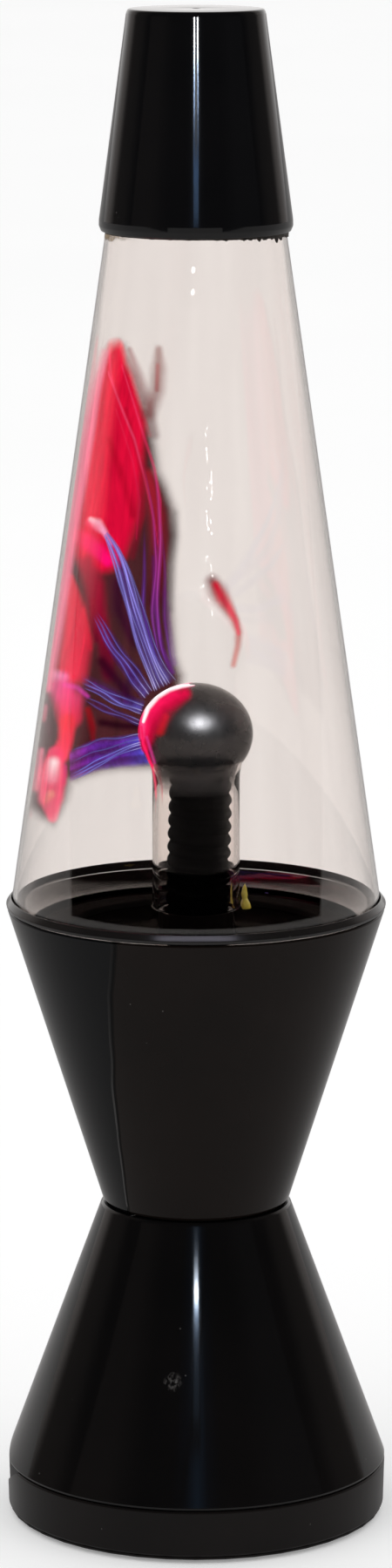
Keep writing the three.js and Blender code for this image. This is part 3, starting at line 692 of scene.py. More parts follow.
for p in vessel.data.polygons:
    z, r = p.center.z * 1000, math.hypot(p.center.x, p.center.y) * 1000
    if z < Z_FOOT + W + 0.35 and 11.5 < r < 36.5 or z < Z_FOOT + 4.7 and r < 14:
        p.material_index = 1
    elif r < 13.6 and z < POST_HI[2] + 1:
        p.material_index = 2
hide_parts("glass_vessel", "glass_post")
vessel.visible_shadow = False

# ------------------------------------------------------------------ lining of the ball
prof = []
for a_deg in range(90, -37, -6):
    a = rad(a_deg)
    prof.append(((BALL_R - 1.13) * math.cos(a) if a_deg < 90 else 0, BALL_Z + (BALL_H - 1.13) * math.sin(a)))
prof += [(9.10, 172.3), (8.80, 168.4), (8.72, 168.3), (9.00, 172.3)]
for a_deg in range(-36, 91, 6):
    a = rad(a_deg)
    prof.append(((BALL_R - 1.30) * math.cos(a) if a_deg < 90 else 0, BALL_Z + (BALL_H - 1.30) * math.sin(a)))
lining = lathe("ball_lining", prof, lining_mat.mat, seg=128, slot="smoky_coating")
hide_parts("electrode_lining")

# ------------------------------------------------------------------ ribbed sleeve, one helical rib, leaning a little
PITCH, R_S, R_SI = 3.0, SLV_HI[0], 6.0
Z_S0, Z_S1 = SLV_LO[2], SLV_HI[2]


def lean(z):
    t = max(0, (z - 139) / 35)
    return 0.25 + 0.95 * t, -0.1


seg, rows = 96, int((Z_S1 - Z_S0) / 0.25)
verts, faces = [], []
for i in range(rows + 1):
    z = Z_S0 + (Z_S1 - Z_S0) * i / rows
    for k in range(seg):
        a = 2 * math.pi * k / seg
        t = ((z - Z_S0) / PITCH + a / (2 * math.pi)) % 1
        rib = 0.5 - 0.5 * math.cos(2 * math.pi * t)
        r = R_S - 0.75 + 0.75 * rib ** 0.55
        if i == rows:
            r = R_S - 0.25
        dx, dy = lean(z)
        verts.append(((r * math.cos(a) + dx) * MM, (r * math.sin(a) + dy) * MM, z * MM))
for z, r in ((Z_S1, R_S - 0.5), (Z_S1 - 0.35, R_SI + 0.1), (Z_S1 - 1.5, R_SI), (Z_S0, R_SI)):
    for k in range(seg):
        a = 2 * math.pi * k / seg
        dx, dy = lean(z)
        verts.append(((r * math.cos(a) + dx) * MM, (r * math.sin(a) + dy) * MM, z * MM))
levels = rows + 5
for i in range(levels):
    b0, b1 = i * seg, ((i + 1) % levels) * seg
    for k in range(seg):
        j = (k + 1) % seg
        faces.append((b0 + k, b0 + j, b1 + j, b1 + k))
sleeve = make("sleeve_ribbed", verts, faces, sleeve_mat.mat, sharp=50, slot="rubber_black")
facing_out(sleeve.data)
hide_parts("ribbed_sleeve")

# ------------------------------------------------------------------ exhaust tip: a pinched nub painted solid yellow, a painted glint where yellow tape shows through the glass
lo, hi = mm_box("exhaust_tip")
cx, cy, z0 = (lo[0] + hi[0]) / 2, (lo[1] + hi[1]) / 2, lo[2]
prof = fillet([(0, z0), (1.45, z0, 0.3), (1.15, z0 + 1.2, 0.8), (0.62, z0 + 2.4, 0.8), (0.78, z0 + 3.4, 0.8), (0.5, z0 + 4.8, 0.5), (0, z0 + 5.85)], 5)
tip = lathe("exhaust_nub", prof, tip_glint_mat.mat, seg=48, shift=lambda z: (cx + 0.12 * math.sin(z), cy), slot="insulation_yellow")
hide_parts("exhaust_tip")

# ------------------------------------------------------------------ seat, gasket, bezel
seat = lathe("seat_disc", fillet([(9.15, SEAT_LO[2]), (38.5, SEAT_LO[2], 0.3), (38.85, SEAT_LO[2] + 0.5, 0.3), (38.85, SEAT_HI[2] + 0.0, 0.5), (9.15, SEAT_HI[2], 0.2), (9.15, SEAT_LO[2])], 4),
             seat_black.mat, slot="satin_black")
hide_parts("glass_seat")
gk_lo, gk_hi = mm_box("seat_gasket")
gasket = lathe("gasket_ring", fillet([(29.1, gk_lo[2]), (35.3, gk_lo[2], 0.3), (35.3, gk_hi[2], 0.5), (29.1, gk_hi[2], 0.5), (29.1, gk_lo[2])], 4), rubber_mat.mat, slot="rubber_black")
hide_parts("seat_gasket")
RB = BEZ_HI[0]
z0, z1 = BEZ_LO[2], BEZ_HI[2]
bezel = lathe("bezel_trim", fillet([(RB - 0.6, z0), (RB - 0.1, z0 + 0.15, 0.2), (RB, z0 + 0.8, 0.35), (RB - 0.95, z1 - 0.05, 0.35), (41.95, z1, 0.15), (41.82, z1 - 0.5), (41.82, z0), (RB - 0.6, z0)], 5),
              bezel_black.mat, slot="satin_black")
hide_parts("bezel_ring")

# ------------------------------------------------------------------ upper cone
led = 133.4
prof = fillet([(6.0, Z_U0), (R_U0 - 0.75, Z_U0, 0.35), (R_U0 - 0.02, Z_U0 + 0.8, 0.8), (R_U1 - 0.15, Z_U1 - 0.35, 0.25), (R_U1 - 0.5, Z_U1, 0.2),
               (R_U1 - 1.3, Z_U1, 0.15), (r_upper(led) - 1.6, led, 0.2), (r_upper(led) - 3.6, led, 0.2), (r_upper(led - 3) - 3.0, led - 3),
               (r_upper(Z_U0 + 2.2) - 2.1, Z_U0 + 2.2, 0.5), (6.0, Z_U0 + 2.2), (6.0, Z_U0)], 6)
datas = [lathe_data(prof, 224)]
for phi in (30, 150, 270):
    d = lathe_data([(1.45, Z_U0 + 2.0), (3.05, Z_U0 + 2.0), (3.05, 85.95), (1.45, 85.95), (1.45, Z_U0 + 2.0)], 32)
    datas.append(moved(d, Matrix.Translation((13.5 * math.cos(rad(phi)) * MM, 13.5 * math.sin(rad(phi)) * MM, 0))))
v, f = merged(*datas)
upper = make("upper_shell", v, f, upper_black.mat, slot="gloss_black")
facing_out(upper.data)
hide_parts("upper_cone")

# ------------------------------------------------------------------ lower cone, band and the window
PANEL, EYE_HALF, EYE_UP, EYE_DOWN, EYE_Z = 166, 24.5, 4.3, 8.2, 12.2


def eye_data(grow, w0=26, w1=50, count=40):
    half = EYE_HALF + grow * 1.6
    up, down = [], []
    for i in range(count + 1):
        u = -half + 2 * half * i / count
        k = max(0, 0.5 + 0.5 * math.cos(math.pi * u / half))
        up.append((u, EYE_Z + 0.02 + (EYE_UP + grow) * k))
        down.append((u, EYE_Z - 0.02 - (EYE_DOWN + grow) * math.sqrt(k)))
    loop = down + up[::-1]
    count = len(loop)
    verts = [(u * MM, w * MM, z * MM) for w in (w0, w1) for u, z in loop]
    faces = [tuple(range(count)), tuple(range(2 * count - 1, count - 1, -1))]
    faces += [(i, (i + 1) % count, count + (i + 1) % count, count + i) for i in range(count)]
    return moved((verts, faces), wall_matrix(PANEL))


prof = fillet([(6.0, Z_L1), (R_L1 - 0.45, Z_L1, 0.3), (R_L1, Z_L1 - 0.5, 0.6), (R_L0, Z_L0 + 0.55, 0.5), (R_L0 - 0.35, Z_L0, 0.2),
               (R_L0 - 2.1, Z_L0, 0.2), (R_L0 - 2.1, Z_L0 + 0.8), (r_lower(Z_L1 - 2.2) - 2.1, Z_L1 - 2.2, 0.5), (6.0, Z_L1 - 2.2), (6.0, Z_L1)], 6)
eye = tool(*eye_data(0))
lower = lathe("lower_shell", prof, lower_black.mat, slot="gloss_black")
boolean(lower, eye, "DIFFERENCE")
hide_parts("lower_cone")
bosses = []
for phi in (40, 130, 220, 310):
    top = 36.0
    d = lathe_data([(1.45, 3.5), (3.15, 3.5), (3.15, 24.0), (1.45, 24.0), (1.45, 3.5)], 32)
    bosses.append(moved(d, Matrix.Translation((34.0 * math.cos(rad(phi)) * MM, 34.0 * math.sin(rad(phi)) * MM, 0))))
v, f = merged(*bosses)
b = make("lower_bosses", v, f, panel_black.mat, slot="gloss_black")
facing_out(b.data)

prof = fillet([(R_BAND - 1.7, Z_B0), (R_BAND - 0.75, Z_B0, 0.2), (R_BAND - 0.28, Z_B0 + 0.5, 0.5), (R_BAND - 0.02, Z_B1 - 0.35, 0.25), (R_BAND - 0.35, Z_B1, 0.2),
               (R_BAND - 2.0, Z_B1, 0.2), (R_BAND - 1.7, Z_B0)], 6)
band = lathe("band_ring", prof, band_black.mat, slot="satin_black")
boolean(band, eye, "DIFFERENCE")
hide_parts("base_band")
drop(eye)


def layer(off, inn):
    pts = [(r_band(3.4) - off, 3.4), (r_band(Z_B1) - off, Z_B1), (r_lower(Z_L0 + 0.1) - off, Z_L0 + 0.1), (r_lower(20.6) - off, 20.6),
           (r_lower(20.6) - inn, 20.6), (r_lower(Z_L0 + 0.1) - inn, Z_L0 + 0.1), (r_band(Z_B1) - inn, Z_B1), (r_band(3.4) - inn, 3.4)]
    return lathe_data(pts, 224, closed=True)


SW, SW_Z, JK, JK_Z = 150, 10.7, 174, 10.3
panel = make("panel_plate", *layer(0.4, 2.6), panel_black.mat, slot="matte_black")
facing_out(panel.data)
e1 = tool(*eye_data(-0.25))
boolean(panel, e1, "INTERSECT")
flange = make("panel_flange", *layer(2.35, 3.8), panel_black.mat, slot="matte_black")
facing_out(flange.data)
e2 = tool(*eye_data(1.3))
boolean(flange, e2, "INTERSECT")
to_w = Matrix.Rotation(rad(-90), 4, "X")  # a lathe's own axis to the wall frame's distance axis
hole = tool(*moved(lathe_data([(0, 30), (4.2, 30), (4.2, 50), (0, 50)], 64), wall_matrix(JK) @ Matrix.Translation((0, 0, JK_Z * MM)) @ to_w))
slot_cut = tool(*moved(box_data(-4.3, 4.3, 30, 50, SW_Z - 1.7, SW_Z + 1.7), wall_matrix(SW)))
for o in (panel, flange):
    boolean(o, hole, "DIFFERENCE")
    boolean(o, slot_cut, "DIFFERENCE")
drop(e1, e2, hole, slot_cut)
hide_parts("control_panel")

socket = lathe_data(fillet([(0, 29.5), (5.35, 29.5, 0.4), (5.35, 37.55, 0.4), (4.0, 37.55, 0.1), (4.0, 42.85, 0.3), (3.3, 42.85, 0.15), (3.15, 42.5), (3.15, 33.0, 0.2), (0, 33.0)], 4), 72)
jack = make("inlet_socket", *moved(socket, wall_matrix(JK) @ Matrix.Translation((0, 0, JK_Z * MM)) @ to_w), panel_black.mat, slot="matte_black")
facing_out(jack.data)
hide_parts("dc_jack")
pin = lathe_data(fillet([(0, 33.2), (0.98, 33.2), (0.98, 41.9, 0.3), (0.5, 41.95, 0.1), (0.45, 41.0), (0, 40.8)], 4), 32)
pin = make("inlet_pin", *moved(pin, wall_matrix(JK) @ Matrix.Translation((0, 0, JK_Z * MM)) @ to_w), brass_mat.mat, slot="brass")
facing_out(pin.data)
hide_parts("dc_jack_pin")

# slider: a rounded block with grip ridges
import bmesh as bm_mod
u0 = -2.0
loop = [(u0 - 1.88, 34.9), (u0 + 1.88, 34.9), (u0 + 1.88, 44.0)]
for i in range(5):
    c = u0 + 1.35 - i * 0.675
    loop += [(c + 0.28, 44.0), (c + 0.16, 44.55), (c - 0.16, 44.55), (c - 0.28, 44.0)]
loop += [(u0 - 1.88, 44.0)]
count = len(loop)
verts = [(u * MM, w * MM, z * MM) for z in (SW_Z - 1.48, SW_Z + 1.48) for u, w in loop]
faces = [tuple(range(count)), tuple(range(2 * count - 1, count - 1, -1))]
faces += [(i, (i + 1) % count, count + (i + 1) % count, count + i) for i in range(count)]
slider = make("switch_knob", *moved((verts, faces), wall_matrix(SW)), panel_black.mat, body=SLIDER, slot="matte_black")
facing_out(slider.data)
bev = slider.modifiers.new("bevel", "BEVEL")
bev.width, bev.segments, bev.limit_method = 0.00012, 2, "ANGLE"
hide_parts("switch_slider")

# rubber feet
for k in range(1, 5):
    lo, hi = mm_box("foot_%d" % k)
    x, y = (lo[0] + hi[0]) / 2, (lo[1] + hi[1]) / 2
    foot = lathe("foot_pad_%d" % k, fillet([(0, 0), (4.15, 0, 0.4), (4.45, 0.9, 0.3), (4.45, hi[2], 0.1), (0, hi[2])], 4), rubber_mat.mat, seg=48,
                 shift=lambda z, x=x, y=y: (x, y), slot="rubber_black")
    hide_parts("foot_%d" % k)

# ------------------------------------------------------------------ the discharge
VIEW = np.array([0.0, -1253.0, 411.2])


def flat_xz(points):
    """Where each point (mm) falls on the plane y = 0 for someone standing in front of the lamp."""
    p = np.asarray(points, float)
    t = -VIEW[1] / (p[:, 1] - VIEW[1])
    q = VIEW + (p - VIEW) * t[:, None]
    return q[:, 0], q[:, 2]


def smooth(x):
    x = np.clip(x, 0, 1)
    return x * x * (3 - 2 * x)


def stroke_field(x, z, pts):
    """Distance over half-width, and the place along it, of the nearest part of a stroke of (x, z, half-width)."""
    best = np.full(x.shape, 1e9)
    along = np.zeros(x.shape)
    pts = np.array(pts, float)
    lens = np.hypot(np.diff(pts[:, 0]), np.diff(pts[:, 1]))
    total, run = lens.sum(), 0.0
    for i in range(len(pts) - 1):
        ax, az, aw = pts[i]
        bx, bz, bw = pts[i + 1]
        dx, dz = bx - ax, bz - az
        t = np.clip(((x - ax) * dx + (z - az) * dz) / (dx * dx + dz * dz + 1e-9), 0, 1)
        d = np.hypot(x - ax - t * dx, z - az - t * dz) / (aw + (bw - aw) * t)
        near = d < best
        best = np.where(near, d, best)
        along = np.where(near, (run + t * lens[i]) / total, along)
        run += lens[i]
    return best, along


def inside_distance(x, z, poly):
    """Signed distance to a polygon's edge, positive inside."""
    poly = np.array(poly, float)
    best = np.full(x.shape, 1e9)
    inside = np.zeros(x.shape, bool)
    for i in range(len(poly)):
        (ax, az), (bx, bz) = poly[i], poly[(i + 1) % len(poly)]
        dx, dz = bx - ax, bz - az
        t = np.clip(((x - ax) * dx + (z - az) * dz) / (dx * dx + dz * dz + 1e-9), 0, 1)
        best = np.minimum(best, np.hypot(x - ax - t * dx, z - az - t * dz))
        if az != bz:
            cross = ((az > z) != (bz > z)) & (x < (bx - ax) * (z - az) / (bz - az) + ax)
            inside ^= cross
    return np.where(inside, best, -best)


def over(rgba, colour, alpha):
    """Lays a colour over what is there, straight alpha."""
    c = np.asarray(colour, float)
    if c.ndim == 1:
        c = np.broadcast_to(c, rgba[:, :3].shape)
    a0 = rgba[:, 3]
    out = alpha + a0 * (1 - alpha)
    safe = np.maximum(out, 1e-6)
    rgba[:, :3] = (c * alpha[:, None] + rgba[:, :3] * (a0 * (1 - alpha))[:, None]) / safe[:, None]
    rgba[:, 3] = out


def paint(rgba, x, z, strokes):
    for pts, c0, c1, opacity, edge in strokes:
        d, along = stroke_field(x, z, pts)
        a = opacity * smooth((1 - d) / max(edge, 1e-3))
        col = np.array(lin(*c0))[None, :] * (1 - along[:, None]) + np.array(lin(*c1))[None, :] * along[:, None]
        over(rgba, col, a)


def glow_material(name, streak=(1, 1, 0.12), scale=220, low=0.72, high=1.25, gain=1.0, facing=None):
    """Light from the gas: its colour and density are stored on the surface, and fine streaks vary it."""
    n = Nodes(name)
    at = n.new("ShaderNodeAttribute", attribute_name="Col")
    s = n.span(n.noise(scale, 4, 0.6, n.mapped(streak), 0.6), low, high, 0.3, 0.7)
    grey = n.new("ShaderNodeCombineColor")
    for i in range(3):
        n.link(s, grey.inputs[i])
    n.to("Emission Color", n.mix(1.0, at.outputs["Color"], grey.outputs[0], "MULTIPLY"))
    a = at.outputs["Alpha"]
    if facing:
        w = n.new("ShaderNodeLayerWeight")
        w.inputs["Blend"].default_value = 0.5
        a = n.math("MULTIPLY", a, n.span(w.outputs["Facing"], 1.0, 0.0, facing[0], facing[1]))
    n.to("Alpha", a)
    n.set(Base_Color=(0, 0, 0, 1), Roughness=1.0, Specular_IOR_Level=0.0, Emission_Strength=gain)
    return n.mat


def coloured(o, rgba):
    attr = o.data.color_attributes.new("Col", "FLOAT_COLOR", "POINT")
    attr.data.foreach_set("color", np.clip(rgba, 0, 30).astype(np.float32).ravel())


# outlines and strokes of the light, mm, as they fall on the plane y = 0 seen from the front: (x, z) or (x, z, half-width)
REGION = [(-19.32, 269.69), (-20.68, 268.13), (-23.23, 260.92), (-25.2, 253.88), (-26.79, 246.82), (-27.99, 239.75), (-29.38, 232.87), (-30.59, 225.77), (-31.79, 218.66), (-33.2, 211.73), (-34.4, 206.37), (-35.81, 198.62), (-37.05, 188.65), (-38.5, 175.66), (-38.56, 164.82), (-35.42, 162.01), (-32.66, 160.6), (-31.07, 163.01), (-29.48, 166.43), (-28.48, 170.24), (-25.12, 171.65), (-20.59, 172.85), (-17.04, 173.25), (-10.54, 173.45), (-8.17, 174.05), (-3.83, 184.06), (-2.85, 194.84), (-3.44, 196.03), (-4.61, 199.41), (-5, 206.37), (-5.39, 211.53), (-5.18, 220.04), (-4.2, 226.56), (-4.78, 232.87), (-6.54, 237.79), (-8.29, 241.33), (-9.06, 246.82), (-10.41, 253.88), (-12.16, 257.98), (-13.9, 262.87), (-15.25, 265.79), (-16.21, 269.5), (-17.38, 270.47)]
FILM = [
    ([(-18.35, 269.3, 2.55), (-17.79, 261.11, 5.1), (-17.43, 251.33, 7.25), (-18.62, 241.52, 8.24), (-20.02, 231.69, 8.82), (-21.8, 224.78, 7.84)], (222, 16, 56), (218, 12, 58), 1.0, 0.4),
    ([(-20.97, 237.59, 4.31), (-21.77, 232.67, 3.92)], (238, 22, 64), (238, 22, 64), 0.8, 1.0),
    ([(-19.77, 248.39, 1.37), (-16.67, 239.95, 1.57), (-14.35, 231.29, 1.37)], (178, 8, 34), (150, 6, 30), 0.45, 1.0),
    ([(-15.86, 255.25, 0.78), (-12.38, 241.52, 0.98), (-12.01, 231.69, 1.18), (-14.37, 221.82, 1.18)], (176, 10, 40), (120, 6, 34), 0.55, 1.0),
    ([(-10.82, 240.54, 2.16), (-8.89, 231.29, 3.33), (-8.12, 221.82, 3.33), (-9.3, 211.92, 3.33)], (178, 26, 48), (70, 14, 34), 0.75, 1.0),
    ([(-4.59, 231.69, 1.57), (-5.38, 219.84, 1.76), (-5.78, 209.94, 1.57)], (42, 22, 22), (40, 10, 24), 0.8, 1.0),
    ([(-28.04, 227.35, 2.35), (-24.92, 225.37, 2.75), (-21.8, 223, 2.55), (-20.05, 220.83, 1.76)], (240, 20, 74), (238, 12, 110), 0.95, 0.8),
    ([(-24.94, 220.24, 2.94), (-23.39, 215.49, 3.73), (-22.63, 209.94, 3.33), (-20.69, 202, 2.75), (-19.93, 195.03, 2.55)], (165, 14, 50), (84, 10, 36), 0.9, 0.8),
    ([(-17.91, 215.89, 2.75), (-17.53, 209.94, 2.75), (-13.63, 202, 2.35)], (52, 4, 40), (48, 4, 40), 0.7, 1.0),
    ([(-28.87, 217.07, 1.57), (-27.72, 209.94, 3.53), (-27.36, 202.99, 4.9), (-28.56, 196.03, 5.1)], (214, 14, 54), (236, 16, 66), 1.0, 0.7),
    ([(-23.4, 211.92, 0.98), (-23.81, 207.56, 1.18), (-22.65, 202.99, 0.98)], (150, 6, 40), (96, 4, 34), 0.8, 1.0),
    ([(-25.76, 209.94, 0.98), (-24.99, 205.58, 1.18), (-24.23, 201.01, 0.98)], (236, 20, 60), (205, 10, 50), 0.6, 1.0),
    ([(-31.33, 192.44, 3.53), (-29.38, 189.25, 4.71), (-29, 185.66, 3.92)], (240, 60, 132), (232, 30, 78), 1.0, 0.7),
    ([(-30.15, 192.84, 0.98), (-27.01, 192.05, 0.98), (-24.66, 190.05, 0.78)], (244, 60, 160), (220, 60, 190), 0.6, 1.0),
    ([(-24.67, 187.06, 1.18), (-23.7, 183.06, 1.57), (-23.51, 180.06, 0.98)], (168, 12, 26), (110, 8, 20), 0.75, 1.0),
    ([(-29.4, 184.06, 2.75), (-29.81, 180.06, 2.35), (-31.01, 176.86, 2.75)], (232, 26, 54), (238, 40, 80), 1.0, 0.6),
    ([(-33.93, 183.66, 1.18), (-33.54, 181.66, 0.98)], (84, 36, 50), (84, 36, 50), 0.85, 1.0),
    ([(-32.19, 176.86, 2.35), (-33, 172.05, 4.12), (-33.22, 167.03, 3.73), (-32.85, 162.41, 1.76)], (240, 46, 98), (240, 92, 122), 1.0, 0.5),
    ([(-29.84, 174.05, 0.78), (-30.25, 170.04, 0.98)], (210, 20, 120), (226, 20, 90), 0.6, 1.0),
    ([(-32.59, 174.86, 2.16), (-33, 171.65, 2.55)], (255, 226, 230), (252, 150, 170), 1.0, 1.0),
    ([(-33.22, 167.63, 1.57), (-34.41, 166.03, 1.18)], (250, 150, 130), (246, 110, 110), 0.8, 1.0),
    ([(-33.28, 195.23, 1.96), (-30.14, 194.64, 1.76)], (254, 160, 196), (250, 110, 170), 0.95, 1.0),
    ([(-21.07, 267.94, 1.76), (-23.43, 258.77, 2.16), (-25.23, 247.8, 2.35), (-26.62, 239.56, 2.35), (-28.02, 232.08, 2.35), (-29.22, 224.78, 2.35), (-30.23, 217.86, 2.35), (-31.64, 209.94, 2.35), (-33.25, 201.01, 2.35), (-34.87, 192.05, 1.96)], (246, 104, 138), (248, 112, 150), 0.9, 1.0),
    ([(-20.49, 267.94, 1.18), (-22.66, 258.77, 1.57), (-24.45, 247.8, 1.76), (-25.84, 239.56, 1.76), (-27.24, 232.08, 1.76), (-28.44, 224.78, 1.76), (-29.45, 217.86, 1.76), (-30.86, 209.94, 1.96), (-32.47, 201.01, 1.96), (-33.69, 192.05, 1.37)], (244, 112, 142), (246, 116, 150), 0.85, 1.0),
    ([(-15.44, 266.57, 0.78), (-13.51, 261.89, 1.18), (-11.57, 256.81, 1.18)], (110, 40, 44), (84, 24, 30), 0.7, 1.0),
    ([(-16.22, 268.13, 0.59), (-14.29, 261.89, 0.78), (-12.36, 255.25, 0.78), (-10.42, 249.37, 0.78)], (206, 60, 84), (190, 30, 64), 0.5, 1.0),
    ([(-34.5, 187.66, 1.18), (-34.9, 184.86, 0.98)], (240, 120, 150), (240, 112, 140), 0.6, 1.0),
    ([(-35.33, 177.66, 1.18), (-36.56, 169.04, 1.37)], (244, 120, 150), (244, 116, 140), 0.7, 1.0),
    ([(-19.92, 263.45, 0.31), (-16.64, 254.85, 0.47), (-13.93, 248.39, 0.47), (-11.6, 239.56, 0.43), (-9.67, 230.7, 0.35), (-8.5, 224.19, 0.24)], (238, 80, 118), (196, 30, 84), 0.7, 1.0),
    ([(-16.81, 265.01, 0.27), (-14.3, 257.2, 0.39), (-11.59, 248.39, 0.51), (-9.26, 241.52, 0.51), (-8.1, 234.64, 0.39), (-8.11, 227.74, 0.27)], (240, 60, 100), (206, 34, 90), 0.75, 1.0),
    ([(-19.71, 268.91, 0.39), (-19.34, 263.06, 0.47), (-17.8, 258.18, 0.39)], (240, 70, 105), (230, 40, 80), 0.6, 1.0),
    ([(-18.19, 255.25, 0.29), (-14.33, 243.49, 0.39), (-12.78, 234.64, 0.39), (-13.58, 225.77, 0.29)], (234, 40, 78), (190, 16, 70), 0.6, 1.0),
    ([(-23.93, 230.31, 0.98), (-22.37, 229.32, 1.76), (-20.81, 227.55, 1.18), (-19.25, 224.58, 0.49)], (252, 190, 200), (236, 120, 196), 1.0, 0.9),
    ([(-24.32, 229.71, 1.37), (-22.56, 228.53, 1.76)], (244, 80, 120), (244, 80, 120), 0.5, 1.0),
    ([(-9.68, 221.82, 0.59), (-9.31, 209.94, 0.78), (-7.75, 201.01, 0.98), (-5.4, 195.63, 0.98)], (92, 26, 96), (96, 34, 130), 0.7, 1.0),
    ([(-6.95, 213.91, 1.18), (-5.98, 205.97, 1.37), (-4.81, 197.62, 1.18)], (84, 20, 72), (100, 36, 128), 0.7, 1.0),
    ([(-15.62, 192.05, 2.35), (-13.64, 196.03, 1.96)], (40, 6, 50), (40, 6, 60), 0.5, 1.0),
    ([(-21.49, 198.02, 1.96), (-16.6, 192.05, 1.96), (-13.66, 187.66, 1.57)], (44, 4, 26), (44, 4, 40), 0.8, 1.0),
    ([(-21.53, 184.06, 1.76), (-16.62, 183.26, 1.76), (-13.67, 183.26, 1.57)], (36, 4, 18), (36, 4, 20), 0.9, 1.0),
]
LOOSE = [
    ([(-15.05, 268.52, 1.18), (-13.12, 263.06, 1.96), (-10.8, 256.81, 2.16), (-9.25, 249.37, 1.76)], (150, 60, 64), (104, 34, 42), 0.5, 1.0),
    ([(-8.45, 268.52, 1.57), (-8.45, 264.23, 2.75), (-8.85, 259.55, 2.94), (-10.61, 254.46, 2.94)], (150, 96, 90), (112, 44, 46), 0.66, 1.0),
    ([(-8.65, 265.01, 0.78), (-8.85, 259.55, 0.88)], (184, 92, 92), (150, 50, 54), 0.55, 1.0),
]
BALL = [
    ([(-11.5, 178.22, 1.57), (-10.91, 183.49, 4.31), (-8.2, 187.99, 4.71), (-2.61, 190.62, 2.35)], (205, 12, 62), (222, 18, 72), 0.95, 1.0),
    ([(-11.88, 181.23, 1.57), (-11.29, 185.36, 2.55), (-8.97, 188.74, 2.55), (-4.92, 190.99, 1.96)], (240, 24, 92), (238, 22, 88), 0.9, 1.0),
    ([(-8.02, 181.98, 1.57), (-6.85, 185.36, 1.37)], (225, 30, 40), (225, 30, 50), 0.45, 1.0),
    ([(-12.07, 180.67, 0.78), (-12.07, 184.24, 1.18), (-11.1, 187.43, 1.37), (-8.58, 190.43, 1.37), (-5.11, 192.12, 1.18), (-0.68, 192.87, 0.78)], (250, 70, 132), (252, 84, 140), 1.0, 1.0),
    ([(-11.87, 184.24, 0.49), (-10.9, 187.43, 0.9), (-8.78, 190.05, 1.02), (-6.08, 191.74, 0.98), (-3.18, 192.49, 0.78), (-0.48, 192.77, 0.47)], (255, 250, 255), (255, 240, 246), 1.0, 0.9),
    ([(-12.26, 183.11, 0.47), (-11.88, 179.16, 0.59), (-10.73, 175.96, 0.59), (-9.96, 174.05, 0.47)], (248, 34, 98), (242, 26, 88), 1.0, 0.9),
    ([(-9.76, 173.65, 0.47), (-9.19, 170.04, 0.47), (-9, 166.03, 0.27)], (238, 60, 100), (224, 110, 124), 0.8, 1.0),
    ([(-11.11, 180.67, 0.59), (-10.15, 177.47, 0.63), (-9.38, 174.83, 0.59)], (230, 60, 150), (200, 60, 140), 0.6, 1.0),
]
WISP = [
    ([(3.62, 216.28, 2.55), (4.8, 213.91, 3.53), (6.37, 211.13, 2.75), (8.33, 207.96, 1.76), (9.51, 204.78, 1.47), (9.32, 201.6, 1.25), (8.34, 197.22, 1.06)], (112, 30, 38), (204, 130, 124), 0.85, 1.0),
    ([(4.4, 215.49, 1.57), (5.78, 212.72, 2.35), (7.54, 209.94, 1.67), (8.92, 207.36, 1.18), (9.51, 204.38, 0.78)], (190, 16, 46), (222, 90, 104), 1.0, 1.0),
]
